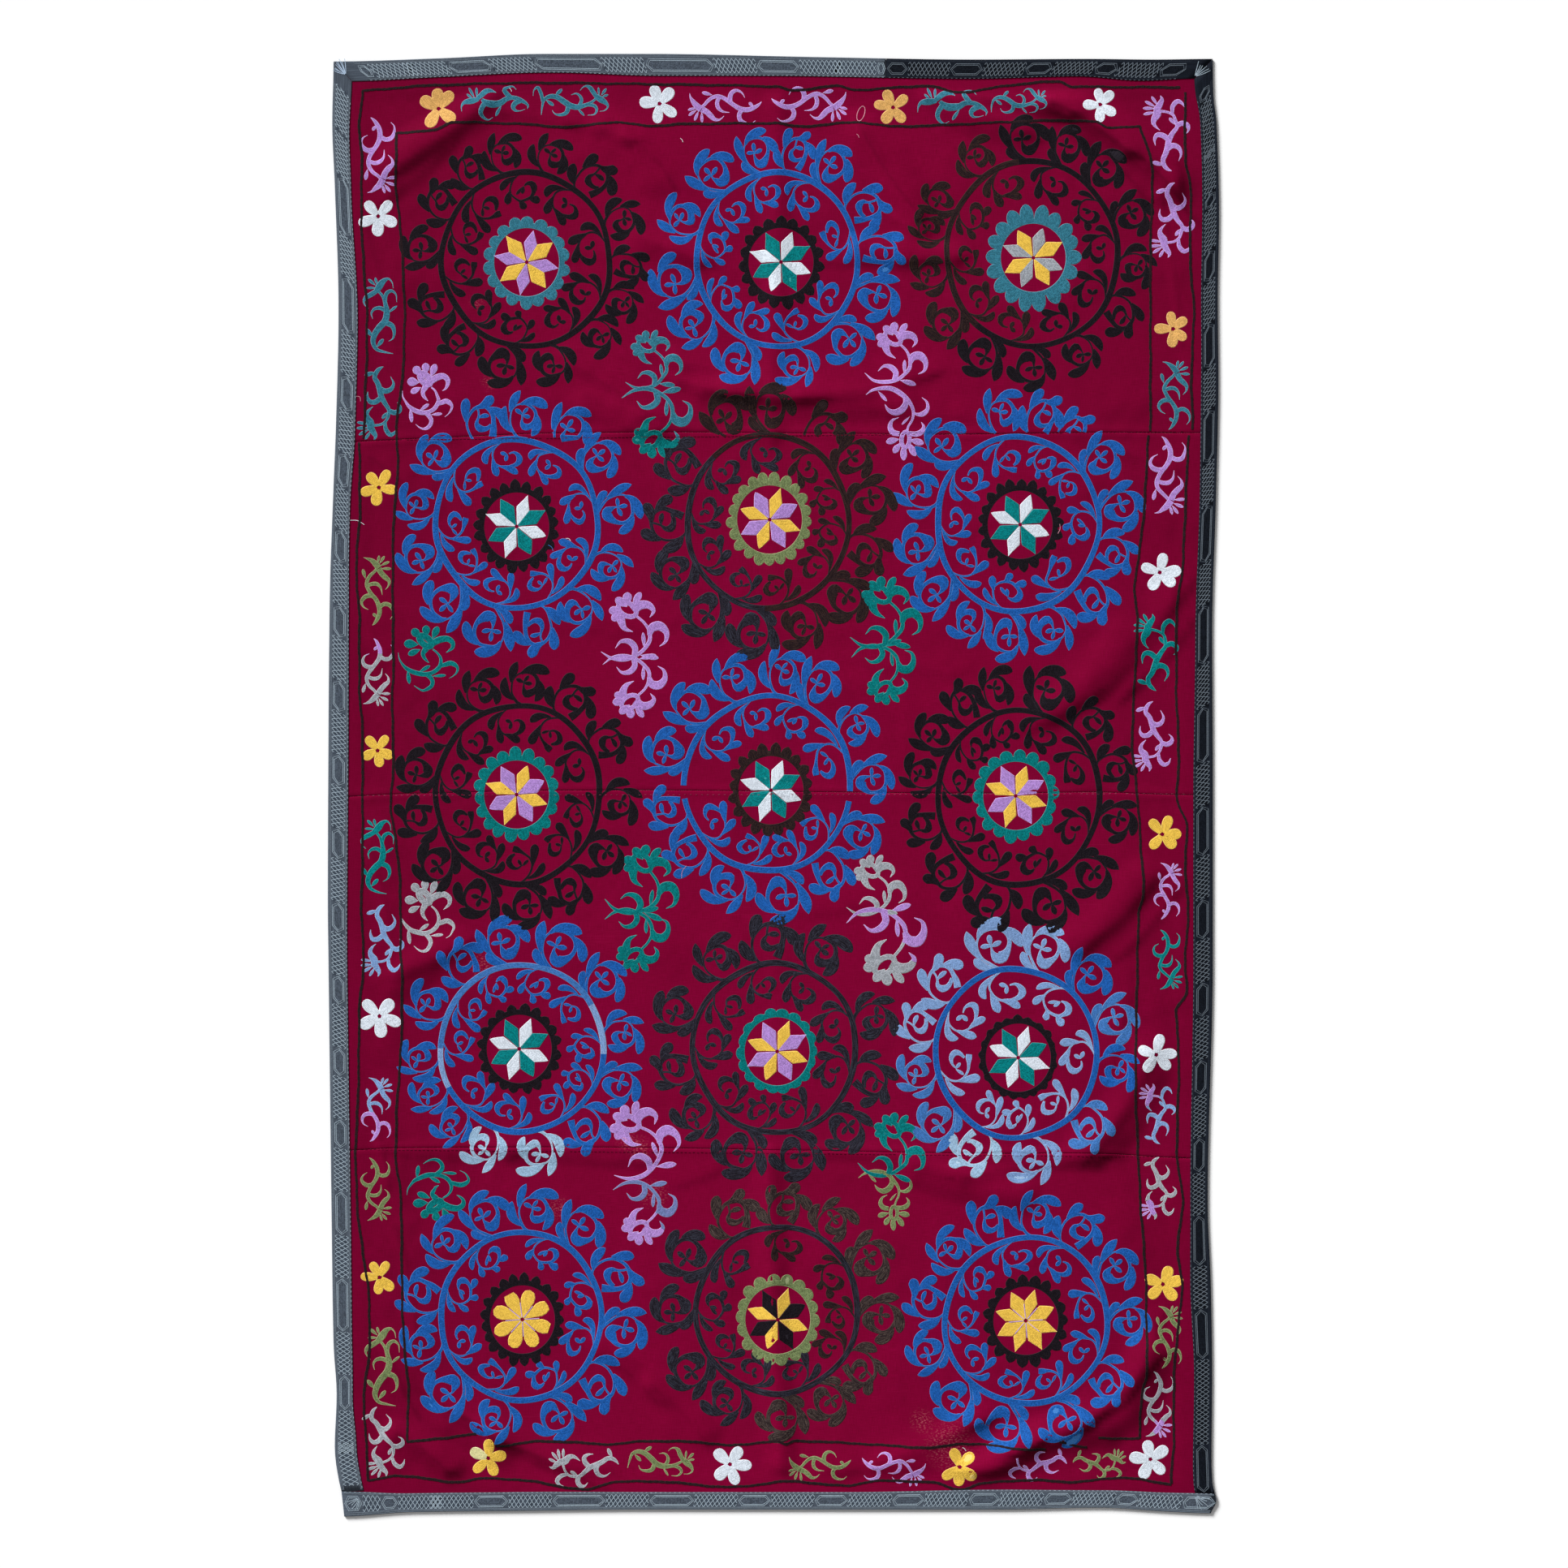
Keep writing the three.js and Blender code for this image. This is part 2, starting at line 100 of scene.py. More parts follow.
# Smaller creases, added to the folds. Each rises slowly on its left, seen from its first point, and drops
# away on its right.
CREASES = table("x1 y1 x2 y2 bow height spread",
    (245, 1097, 466, 1062, 8, 2.4, 9), (440, 1084, 560, 1006, 6, 3.3, 10), (560, 1010, 664, 900, 10, 2.0, 9),
    (470, 1040, 590, 930, 12, 1.6, 8), (596, 985, 650, 890, 5, 0.9, 8), (232, 905, 130, 1062, 6, 2.6, 9),
    (205, 890, 60, 1010, 12, 1.0, 9), (300, 1085, 420, 1030, -4, 1.2, 8), (-590, 985, -436, 1104, -6, 1.7, 9),
    (-610, 935, -520, 1010, -4, 1.4, 9), (-330, 1052, -232, 1024, 6, 1.8, 9),
    (-236, 1030, -158, 950, 10, 1.8, 9), (-430, 1068, -350, 1050, 3, 1.2, 9),
    (-215, 870, -118, 830, 2, 1.6, 8), (70, 832, 292, 838, -3, 1.7, 8), (-330, 838, -225, 842, 2, 0.8, 8),
    (-195, 682, -104, 664, -3, 1.6, 8), (-150, 640, -50, 622, -4, 2.2, 10), (-60, 622, 60, 616, -5, 3.0, 10),
    (50, 620, 240, 655, -10, 2.2, 10), (-318, 664, -204, 592, 5, 1.8, 9), (-300, 622, -216, 584, 4, 1.2, 8),
    (-215, 566, -110, 570, 2, 1.2, 8), (180, 588, 420, 572, 4, 0.9, 8), (520, 148, 662, 318, -10, 1.3, 9),
    (566, 150, 668, 262, -6, 1.6, 8), (610, 250, 672, 330, 4, 1.6, 8), (420, 96, 500, 140, -4, 1.4, 9),
    (150, 192, 282, 176, 3, 0.9, 9), (-60, 210, 120, 150, 8, 1.0, 14), (500, -252, 604, -148, -8, 1.4, 8),
    (560, -260, 640, -170, -5, 1.5, 8), (470, -262, 520, -300, 3, 1.0, 9),
    (-596, -300, -500, -256, -4, 1.4, 9), (60, -208, 160, -190, 4, 1.0, 9),
    (496, -584, 588, -446, -14, 1.5, 9), (300, -626, 512, -598, 6, 1.9, 9), (84, -584, 304, -618, 4, 1.5, 9),
    (-566, -590, -420, -588, 2, 1.2, 9), (-420, -588, -212, -600, 3, 1.8, 10),
    (-170, -640, -90, -612, -3, 1.1, 8), (540, -430, 560, -330, -6, 1.2, 9),
    (300, -1108, 410, -1046, -8, 3.4, 11), (400, -1050, 500, -1006, -6, 3.6, 12),
    (494, -1010, 590, -926, -10, 3.2, 11), (570, -950, 612, -850, -8, 1.8, 9),
    (96, -1098, 322, -1012, -8, 2.2, 10), (330, -1010, 470, -960, -6, 1.2, 9),
    (-524, -990, -440, -1042, 5, 3.3, 10), (-446, -1038, -286, -1112, 4, 3.2, 10),
    (-610, -900, -560, -1010, -5, 1.6, 9), (-600, -700, -566, -880, 6, 1.3, 9),
    (-600, -1030, -520, -1088, 5, 1.4, 8), (-274, -902, -190, -976, 5, 1.4, 7),
    (-196, -950, -106, -1046, 5, 1.4, 7), (-240, -900, -150, -960, 4, 0.9, 7),
    (-640, -500, -610, -640, 4, 1.2, 9), (8, 1086, -6, 560, 3, 0.5, 6), (-6, 556, -4, -560, 2, 0.7, 6),
    (-6, -600, 12, -1086, -4, 1.4, 6), (202, 860, 206, -560, 6, 0.5, 8), (-560, 250, 560, 246, -4, 0.4, 9),
    (-640, 520, -566, 452, 3, 1.0, 9), (-560, 330, -500, 236, 4, 0.8, 11), (480, 548, 622, 500, 5, 0.9, 11),
    (616, 940, 650, 700, 4, 1.0, 9), (-652, 900, -600, 700, 4, 0.8, 11), (-650, 300, -612, 120, 4, 0.8, 11),
    (-640, -100, -600, -260, 4, 0.9, 11))
CREASE_LEAN = 3.2        # how much wider the slow side of a crease is than its steep side
CREASE_SCALE = 1.25      # on the heights in the table
STEEP = 0.5              # the slope away from the light at which the painted shade on the cloth is at its darkest
FOOT_SPREAD = 0.45       # of a crease's spread: how far the painted shade at its foot goes
FOOT_FULL = 3            # the height from which the painted shade at a crease's foot is at its darkest


# the outline and the cloth's height
def smooth(t):
    s = np.clip(t, 0, 1)
    return s * s * (3 - 2 * s)


def mix(a, b, t):
    return a + (b - a) * t


def cubic(t, run, here, there, slope_here, slope_there):
    """The value at a share t of a run, from the values and slopes at its two ends."""
    t2, t3 = t * t, t * t * t
    return ((2 * t3 - 3 * t2 + 1) * here + (t3 - 2 * t2 + t) * run * slope_here
            + (3 * t2 - 2 * t3) * there + (t3 - t2) * run * slope_there)


def through(rows, column, at):
    """A column of a table at any place, through its rows without overshoot."""
    xs = np.array([row["at"] for row in rows], float)
    ys = np.array([row[column] for row in rows], float)
    steps = np.diff(xs)
    slopes = np.diff(ys) / steps
    tangents = np.zeros(len(xs))
    before, after = slopes[:-1], slopes[1:]
    same = before * after > 0
    tangents[1:-1][same] = 2 * before[same] * after[same] / (before[same] + after[same])
    here = np.clip(at, xs[0], xs[-1])
    i = np.clip(np.searchsorted(xs, here, side="right") - 1, 0, len(steps) - 1)
    return cubic((here - xs[i]) / steps[i], steps[i], ys[i], ys[i + 1], tangents[i], tangents[i + 1])


def along(rows, column, fraction):
    return through(rows, column, mix(rows[0]["at"], rows[-1]["at"], fraction))


def heading(bearing):
    return np.array([math.cos(bearing), math.sin(bearing)])


def oval(x, y, long, short, tilt, step):
    """Points round a tilted oval, a step of degrees apart."""
    turns = np.radians(np.arange(0, 360, step))
    c, s = math.cos(math.radians(tilt)), math.sin(math.radians(tilt))
    out, up = long * np.cos(turns), short * np.sin(turns)
    return x + out * c - up * s, y + out * s + up * c


def ribbon(x, y, half):
    """Rows of x, y and half width for a stitched band."""
    return np.column_stack([x, y, np.broadcast_to(half, np.shape(x))])


def place(u, v):
    """The place at fraction u across the outline and v up it."""
    x = mix(along(LEFT, "edge", v), along(RIGHT, "edge", v), u)
    y = mix(along(BOTTOM, "edge", u), along(TOP, "edge", u), v)
    return x, y


def fractions(x, y):
    """The inverse of place."""
    u, v = np.full(np.shape(x), 0.5), np.full(np.shape(x), 0.5)
    for _ in range(5):
        left, right = along(LEFT, "edge", v), along(RIGHT, "edge", v)
        u = (x - left) / (right - left)
        foot, head = along(BOTTOM, "edge", u), along(TOP, "edge", u)
        v = (y - foot) / (head - foot)
    return u, v


WIDTH = float(along(RIGHT, "edge", 0.5) - along(LEFT, "edge", 0.5))
LENGTH = float(along(TOP, "edge", 0.5) - along(BOTTOM, "edge", 0.5))


def seam_at(seam, u):
    foot = mix(BOTTOM[0]["edge"], BOTTOM[-1]["edge"], u)
    head = mix(TOP[0]["edge"], TOP[-1]["edge"], u)
    return (mix(seam["left"], seam["right"], u) - foot) / (head - foot)


def seam_height(seam, x):
    """Where a seam is at a place across the cover, in millimetres."""
    return mix(seam["left"], seam["right"], (x + WIDTH / 2) / WIDTH)


def nearness(fold, x, y, lean=1.0):
    """Distance to a fold's curved line, counted shorter by lean on the line's left."""
    start, end = np.array([fold["x1"], fold["y1"]], float), np.array([fold["x2"], fold["y2"]], float)
    run = (end - start) / np.hypot(*(end - start))
    middle = (start + end) / 2 + 2 * fold["bow"] * np.array([-run[1], run[0]])
    t = np.linspace(0, 1, 11)[:, None]
    line = start * (1 - t) ** 2 + 2 * middle * t * (1 - t) + end * t * t
    nearest = np.full(np.shape(x), np.inf)
    for (ax, ay), (bx, by) in zip(line[:-1], line[1:]):
        dx, dy = bx - ax, by - ay
        s = np.clip(((x - ax) * dx + (y - ay) * dy) / (dx * dx + dy * dy), 0, 1)
        nearest = np.minimum(nearest, np.hypot(x - ax - s * dx, y - ay - s * dy))
    left = (x - start[0]) * -run[1] + (y - start[1]) * run[0] - fold["bow"] * 0.7
    return nearest / mix(1.0, lean, smooth(0.5 + left / 8))


def raised(fold, x, y, lean=1.0):
    """One fold's height at each place."""
    reach = 2 * fold["spread"] * lean + abs(fold["bow"])
    near = ((x > min(fold["x1"], fold["x2"]) - reach) & (x < max(fold["x1"], fold["x2"]) + reach)
            & (y > min(fold["y1"], fold["y2"]) - reach) & (y < max(fold["y1"], fold["y2"]) + reach))
    height = np.zeros(np.shape(x))
    ratio = np.minimum(1, nearness(fold, x[near], y[near], lean) / (2 * fold["spread"]))
    height[near] = fold["height"] * (1 - ratio ** 2) ** 3
    return height


def fold_height(x, y):
    """Where two folds meet, the higher one carries the cloth."""
    return np.cbrt(sum(raised(fold, x, y) ** 3 for fold in FOLDS))


waves = []
for length, height in [(220, 0.3)] * 8 + [(110, 0.16)] * 10 + [(48, 0.06)] * 12:
    waves.append((height, 2 * math.pi / (length * random.uniform(0.7, 1.4)), random.uniform(0, math.pi),
                  random.uniform(0, 2 * math.pi)))


def ease(x, y):
    """The slight unevenness of cloth that lies loosely."""
    total = np.zeros(np.shape(x))
    for height, number, way, phase in waves:
        total += height * np.sin(number * (x * math.cos(way) + y * math.sin(way)) + phase)
    return total


def crease_height(x, y):
    return ease(x, y) + CREASE_SCALE * sum(raised(crease, x, y, CREASE_LEAN) for crease in CREASES)


def facing_away(x, y):
    """How far the folds and creases here turn away from the light, from 0 to 1."""
    step = 4.0      # millimetres to either side
    way = Vector(KEY_FROM[:2]).normalized() * step
    drop = sum(height(x + way.x, y + way.y) - height(x - way.x, y - way.y)
               for height in (fold_height, crease_height))
    return np.clip(drop / (2 * step) / STEEP, 0, 1)


def crease_foot_shade(x, y):
    """How close each place is to the foot of a crease, where shade is painted on the cloth, from 0 to 1."""
    close = np.zeros(np.shape(x))
    for crease in CREASES:
        foot = dict(crease, height=min(1.0, abs(crease["height"]) / FOOT_FULL),
                    spread=crease["spread"] * FOOT_SPREAD)
        close = np.maximum(close, raised(foot, x, y))
    return close


def cloth_back(u, v, from_seam):
    """Height of the cloth's back above the surface that it lies on."""
    inward = np.minimum(np.minimum(u, 1 - u) * WIDTH, np.minimum(v, 1 - v) * LENGTH)
    down = smooth((inward - TAPE_FLAT_TO) / (TAPE_SLOPE_TO - TAPE_FLAT_TO))
    x, y = place(u, v)
    seam = SEAM_RISE * (1 - smooth(from_seam / SEAM_SPREAD))
    loose = smooth((inward - CREASED_FROM) / CREASED_OVER)
    lying = np.maximum(0, fold_height(x, y) + seam + crease_height(x, y) * loose)
    return mix(TAPE_THICKNESS + AIR, lying, down)


near_tape = np.array([CLOTH_SHORT_OF_FOLD, 12, 22, 33, TAPE_FLAT_TO, 50, 56, 62])
inner = np.linspace(TAPE_SLOPE_TO, WIDTH - TAPE_SLOPE_TO, int((WIDTH - 2 * TAPE_SLOPE_TO) / GRID_STEP))
COLUMNS = np.concatenate([near_tape, inner, WIDTH - near_tape[::-1]]) / WIDTH


def panel_rows(number):
    """Distances up one panel, in millimetres: close together by its seams and its tape."""
    below = SEAMS[number - 1]["left"] if number > 0 else BOTTOM[0]["edge"]
    above = SEAMS[number]["left"] if number < len(SEAMS) else TOP[0]["edge"]
    tall = above - below
    by_seam = np.array([AIR / 2, 1.4, 3.5, 8])
    low = by_seam if number > 0 else near_tape
    high = by_seam if number < len(SEAMS) else near_tape
    start, stop = low[-1] + GRID_STEP, tall - high[-1] - GRID_STEP
    rows = np.linspace(start, stop, int((stop - start) / GRID_STEP))
    return np.concatenate([low, rows, tall - high[::-1]]) / tall


class Panel:
    """One cut panel of cloth, as a grid of points."""

    def __init__(self, number):
        self.number = number
        self.below = SEAMS[number - 1] if number > 0 else None
        self.above = SEAMS[number] if number < len(SEAMS) else None
        self.rows = panel_rows(number)
        u, t = np.meshgrid(COLUMNS, self.rows)
        low, high = self.limits(u)
        v = mix(low, high, t)
        from_low = (v - low) * LENGTH if self.below else np.full(u.shape, 1e3)
        from_high = (high - v) * LENGTH if self.above else np.full(u.shape, 1e3)
        from_seam = np.minimum(from_low, from_high)
        self.x, self.y = place(u, v)
        turned = TURNED_AT_SEAM * (1 - smooth(from_seam / TURNED_WITHIN))
        back = cloth_back(u, v, from_seam)
        self.back = np.maximum(0, back - turned)
        self.face = back + CLOTH_THICKNESS - turned

    def limits(self, u):
        low = seam_at(self.below, u) if self.below else np.zeros(np.shape(u))
        high = seam_at(self.above, u) if self.above else np.ones(np.shape(u))
        return low, high

    def height(self, u, v):
        """Height of the face at any place on the panel."""
        low, high = self.limits(u)
        t = np.clip((v - low) / (high - low), 0, 1)
        i = np.interp(t, self.rows, np.arange(len(self.rows)))
        j = np.interp(u, COLUMNS, np.arange(len(COLUMNS)))
        i0 = np.minimum(i.astype(int), len(self.rows) - 2)
        j0 = np.minimum(j.astype(int), len(COLUMNS) - 2)
        a, b = i - i0, j - j0
        lower = mix(self.face[i0, j0], self.face[i0, j0 + 1], b)
        upper = mix(self.face[i0 + 1, j0], self.face[i0 + 1, j0 + 1], b)
        return mix(lower, upper, a)


PANELS = [Panel(number) for number in range(len(SEAMS) + 1)]


def cloth_face(x, y):
    """Height of the cover's face at any place, in millimetres."""
    u, v = fractions(x, y)
    found = PANELS[0].height(u, v)
    for panel in PANELS[1:]:
        low, _ = panel.limits(u)
        found = np.where(v > low, panel.height(u, v), found)
    return found


# materials
def linear(colour):
    """What a surface reflects, so that in this light it has a screen colour of 0 to 255."""
    c = np.array(colour) / 255
    seen = np.where(c <= 0.04045, c / 12.92, ((c + 0.055) / 1.055) ** 2.4)
    return [float(x) / BRIGHTNESS for x in seen] + [1.0]


def times(colour, share):
    """A colour as a surface reflects it, made darker or lighter."""
    return [min(1.0, c * share) for c in linear(colour)[:3]] + [1.0]


def shaded(name):
    material = bpy.data.materials.new(name)
    material.use_nodes = True
    return material, material.node_tree


def finish(tree, colour, rough, shine, bumps):
    """Sets the surface that a material shows."""
    surface = tree.nodes["Principled BSDF"]
    tree.links.new(colour, surface.inputs["Base Color"])
    surface.inputs["Roughness"].default_value = rough
    surface.inputs["Specular IOR Level"].default_value = shine
    tree.links.new(bumps, surface.inputs["Normal"])


def attribute(tree, name):
    node = tree.nodes.new("ShaderNodeAttribute")
    node.attribute_name = name
    return node


def math_node(tree, operation, a, b=None):
    node = tree.nodes.new("ShaderNodeMath")
    node.operation = operation
    for socket, value in zip(node.inputs, (a, b)):
        if value is None:
            continue
        if isinstance(value, (int, float)):
            socket.default_value = value
        else:
            tree.links.new(value, socket)
    return node.outputs[0]


def mixed(tree, factor, a, b, blend="MIX"):
    node = tree.nodes.new("ShaderNodeMix")
    node.data_type = "RGBA"
    node.blend_type = blend
    for socket, value in ((node.inputs[0], factor), (node.inputs[6], a), (node.inputs[7], b)):
        if isinstance(value, (int, float, list, tuple)):
            socket.default_value = value
        else:
            tree.links.new(value, socket)
    return node.outputs[2]


def noise(tree, vector, scale, detail=2.0, rough=0.5):
    node = tree.nodes.new("ShaderNodeTexNoise")
    node.inputs["Scale"].default_value = scale
    node.inputs["Detail"].default_value = detail
    node.inputs["Roughness"].default_value = rough
    tree.links.new(vector, node.inputs["Vector"])
    return node.outputs["Fac"]


def stretch(tree, vector, scale):
    node = tree.nodes.new("ShaderNodeMapping")
    node.inputs["Scale"].default_value = scale
    tree.links.new(vector, node.inputs["Vector"])
    return node.outputs["Vector"]


def ramp(tree, value, low, high, to_low=0.0, to_high=1.0):
    node = tree.nodes.new("ShaderNodeMapRange")
    node.interpolation_type = "SMOOTHSTEP"
    tree.links.new(value, node.inputs["Value"])
    for name, number in (("From Min", low), ("From Max", high), ("To Min", to_low), ("To Max", to_high)):
        node.inputs[name].default_value = number
    return node.outputs["Result"]


def bump(tree, height, distance, strength=1.0):
    node = tree.nodes.new("ShaderNodeBump")
    node.inputs["Strength"].default_value = strength
    node.inputs["Distance"].default_value = distance
    tree.links.new(height, node.inputs["Height"])
    return node.outputs["Normal"]


def thread_material(name, colour, rim, streak=None):
    """Chain-stitched cotton and silk thread: rows of small stitches with painted shade in the gaps between
    them, and a lighter row round the rim.
    """
    material, tree = shaded(name)
    where = attribute(tree, "stitch").outputs["Vector"]
    split = tree.nodes.new("ShaderNodeSeparateXYZ")
    tree.links.new(where, split.inputs[0])
    cells = tree.nodes.new("ShaderNodeTexVoronoi")
    cells.voronoi_dimensions = "2D"
    cells.inputs["Scale"].default_value = 1.0
    cells.inputs["Randomness"].default_value = 0.5
    tree.links.new(stretch(tree, where, (0.42, 0.78, 1.0)), cells.inputs["Vector"])
    tone = tree.nodes.new("ShaderNodeSeparateColor")
    tree.links.new(cells.outputs["Color"], tone.inputs[0])
    even = 0.22 * max(linear(colour)[:3])       # a pale thread looks more even
    dark, light = times(colour, 0.62 + even), times(colour, 1.28 - even)
    body = mixed(tree, ramp(tree, tone.outputs[0], 0.0, 1.0), dark, light)
    if streak is not None:
        fine = noise(tree, stretch(tree, where, (0.05, 1.1, 1.0)), 1.0, 2.0)
        body = mixed(tree, ramp(tree, fine, 0.5, 0.62), body, linear(streak))
    wide = noise(tree, stretch(tree, where, (0.06, 0.06, 1.0)), 1.0, 1.0)
    body = mixed(tree, ramp(tree, wide, 0.35, 0.7, 0.0, 0.22), body, light)
    # Painted shade: the thread is darker in the gaps between its stitches.
    stitch_gap_shade = ramp(tree, cells.outputs["Distance"], 0.42, 0.75, 0.0, 0.55)
    body = mixed(tree, stitch_gap_shade, body, times(colour, 0.35 + 1.6 * even))
    edge = ramp(tree, split.outputs["Z"], 0.45, 1.15, 1.0, 0.0)
    body = mixed(tree, edge, body, linear(rim))
    finish(tree, body, 0.6, 0.04, bump(tree, cells.outputs["Distance"], -0.0005, 0.7))
    return material


def cotton_material():
    """Crimson cotton satin: fine threads both ways, a faint cloudiness, a few worn places, and painted shade
    where the cloth turns from the light, at its creases and towards its sides.
    """
    material, tree = shaded("crimson_cotton")
    where = tree.nodes.new("ShaderNodeTexCoord").outputs["Object"]
    warp = noise(tree, stretch(tree, where, (1400, 60, 1)), 1.0, 2.0)
    weft = noise(tree, stretch(tree, where, (60, 1400, 1)), 1.0, 2.0)
    cloud = noise(tree, stretch(tree, where, (7, 7, 7)), 1.0, 3.0)
    slub = noise(tree, stretch(tree, where, (9, 420, 1)), 1.0, 2.0)
    threads = math_node(tree, "ADD", warp, weft)
    base = mixed(tree, ramp(tree, threads, 0.7, 1.3), linear((118, 1, 42)), linear((133, 2, 53)))
    base = mixed(tree, ramp(tree, cloud, 0.3, 0.7, 0.0, 0.35), base, linear((116, 2, 43)))
    base = mixed(tree, ramp(tree, slub, 0.62, 0.78, 0.0, 0.35), base, linear((140, 12, 60)))
    specks = noise(tree, stretch(tree, where, (260, 420, 1)), 1.0, 3.0, 0.6)
    worn = attribute(tree, "worn").outputs["Fac"]
    rubbed = math_node(tree, "MULTIPLY", worn, ramp(tree, specks, 0.5, 0.66))
    base = mixed(tree, rubbed, base, linear((176, 84, 96)))
    # Painted shade: the cloth is mixed towards dark wine where it turns from the light, towards its sides and
    # at the feet of creases.
    painted_shade = ramp(tree, attribute(tree, "painted_shade").outputs["Fac"], 0.0, 1.0, 0.0, 0.8)
    base = mixed(tree, painted_shade, base, linear((58, 0, 18)))
    finish(tree, base, 0.7, 0.02, bump(tree, threads, 0.0003, 0.5))
    return material


def tape_material(name, colour, light):
    """Woven cotton tape: fine ribs along it, closer and paler by both edges."""
    material, tree = shaded(name)
    where = attribute(tree, "stitch").outputs["Vector"]
    ribs = noise(tree, stretch(tree, where, (0.03, 1.6, 1)), 1.0, 2.0)
    grain = noise(tree, stretch(tree, where, (1.4, 0.5, 1)), 1.0, 2.0)
    base = mixed(tree, ramp(tree, ribs, 0.35, 0.65), times(colour, 0.72), linear(light))
    base = mixed(tree, ramp(tree, grain, 0.35, 0.7, 0.0, 0.5), base, linear(colour))
    both = math_node(tree, "ADD", ribs, grain)
    finish(tree, base, 0.78, 0.04, bump(tree, both, 0.0004, 0.6))
    return material


# Thread colours: the body, the lighter row round the rim, and the streaks of a heathered thread.
THREADS = {
    "blue": ((30, 90, 168), (64, 124, 194), None),
    "mid": ((64, 114, 180), (104, 150, 202), None),
    "light": ((124, 156, 204), (156, 186, 222), None),
    "pale": ((152, 184, 212), (182, 206, 226), None),
    "slate": ((116, 124, 178), (150, 156, 200), (92, 128, 170)),
    "black": ((26, 21, 27), (42, 37, 45), None),
    "brown": ((36, 24, 28), (54, 40, 42), (60, 42, 36)),
    "navy": ((31, 27, 35), (50, 46, 57), (60, 62, 76)),
    "heather": ((44, 34, 36), (66, 54, 54), (92, 78, 72)),
    "teal": ((52, 117, 138), (98, 158, 174), None),
    "jade": ((4, 116, 118), (58, 154, 152), None),
    "green": ((4, 124, 127), (56, 158, 158), None),
    "olive": ((115, 130, 86), (154, 166, 122), None),
    "lilac": ((176, 136, 208), (208, 176, 232), None),
    "yellow": ((238, 194, 78), (246, 214, 122), None),
    "orange": ((224, 172, 100), (240, 200, 136), None),
    "cream": ((226, 220, 160), (236, 232, 186), None),
    "white": ((220, 229, 240), (238, 243, 249), None),
    "grey": ((158, 163, 171), (190, 196, 202), None),
    "line": ((38, 25, 29), (46, 33, 36), None),
    "rose": ((196, 116, 140), (214, 146, 164), None),
    "faint": ((150, 50, 84), (156, 66, 96), None),
    "wine": ((84, 0, 28), (92, 2, 34), None),
    "frayed": ((150, 176, 208), (178, 198, 222), None),
    "grey_line": ((148, 162, 176), (158, 174, 186), None),
    "grey_rib": ((108, 119, 131), (114, 125, 137), None),
    "grey_field": ((66, 75, 87), (72, 81, 92), None),
    "grey_window": ((76, 85, 97), (80, 89, 101), None),
    "navy_line": ((92, 102, 114), (104, 114, 124), None),
    "navy_rib": ((34, 40, 50), (40, 46, 57), None),
    "navy_field": ((14, 17, 24), (17, 20, 27), None),
    "navy_window": ((18, 22, 30), (21, 25, 33), None),
}
materials = {}


def thread(name):
    if name not in materials:
        body, rim, streak = THREADS[name]
        materials[name] = thread_material("thread_" + name, body, rim, streak)
    return materials[name]


cotton = cotton_material()
grey_tape = tape_material("grey_tape", (74, 82, 94), (87, 97, 109))
navy_tape = tape_material("navy_tape", (19, 23, 32), (28, 34, 44))


# meshes
def put_in_scene(name, data):
    found = bpy.data.objects.new(name, data)
    bpy.context.scene.collection.objects.link(found)
    return found


def per_point(piece, name, values):
    """A number for each point, for the material to read."""
    found = piece.data.attributes.new(name, "FLOAT", "POINT")
    found.data.foreach_set("value", values.astype(np.float32))


def mesh_piece(name, points, faces, stitch, worn_by, face_material=None, soft=True):
    """A piece in metres from points in millimetres, riding on the cover."""
    mesh = bpy.data.meshes.new(name)
    mesh.from_pydata((np.asarray(points) * MM).tolist(), [], [list(map(int, f)) for f in faces])
    if stitch is not None:
        mesh.attributes.new("stitch", "FLOAT_VECTOR", "POINT")
        mesh.attributes["stitch"].data.foreach_set("vector", np.asarray(stitch, np.float32).ravel())
    for material in worn_by:
        mesh.materials.append(material)
    if face_material is not None:
        mesh.polygons.foreach_set("material_index", np.asarray(face_material, np.int32))
    mesh.polygons.foreach_set("use_smooth", np.full(len(mesh.polygons), soft))
    mesh.update()
    piece = put_in_scene(name, mesh)
    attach(piece, "root")
    return piece


def curve_through(points, step):
    """Stations about step apart on a smooth line through a few control rows (x, y, half width)."""
    p = np.asarray(points, float)
    stitch_gap_shade = np.hypot(*(p[1:, :2] - p[:-1, :2]).T) + 1e-6
    at = np.concatenate([[0], np.cumsum(stitch_gap_shade)])
    slope = np.diff(p, axis=0) / stitch_gap_shade[:, None]
    tangent = np.vstack([slope[:1], (slope[:-1] * stitch_gap_shade[1:, None] + slope[1:] * stitch_gap_shade[:-1, None])
                         / (stitch_gap_shade[1:] + stitch_gap_shade[:-1])[:, None], slope[-1:]])
    count = max(2, int(math.ceil(at[-1] / step)))
    here = np.linspace(0, at[-1], count + 1)
    i = np.clip(np.searchsorted(at, here, side="right") - 1, 0, len(stitch_gap_shade) - 1)
    t = ((here - at[i]) / stitch_gap_shade[i])[:, None]
    line = cubic(t, stitch_gap_shade[i][:, None], p[i], p[i + 1], tangent[i], tangent[i + 1])
    line[:, 2] = np.maximum(line[:, 2], FINEST_HALF)
    return line


ACROSS = np.array([-1.0, -0.86, 0.0, 0.86, 1.0])
DOME = np.array([0.0, 0.97, 1.0, 0.97, 0.0])


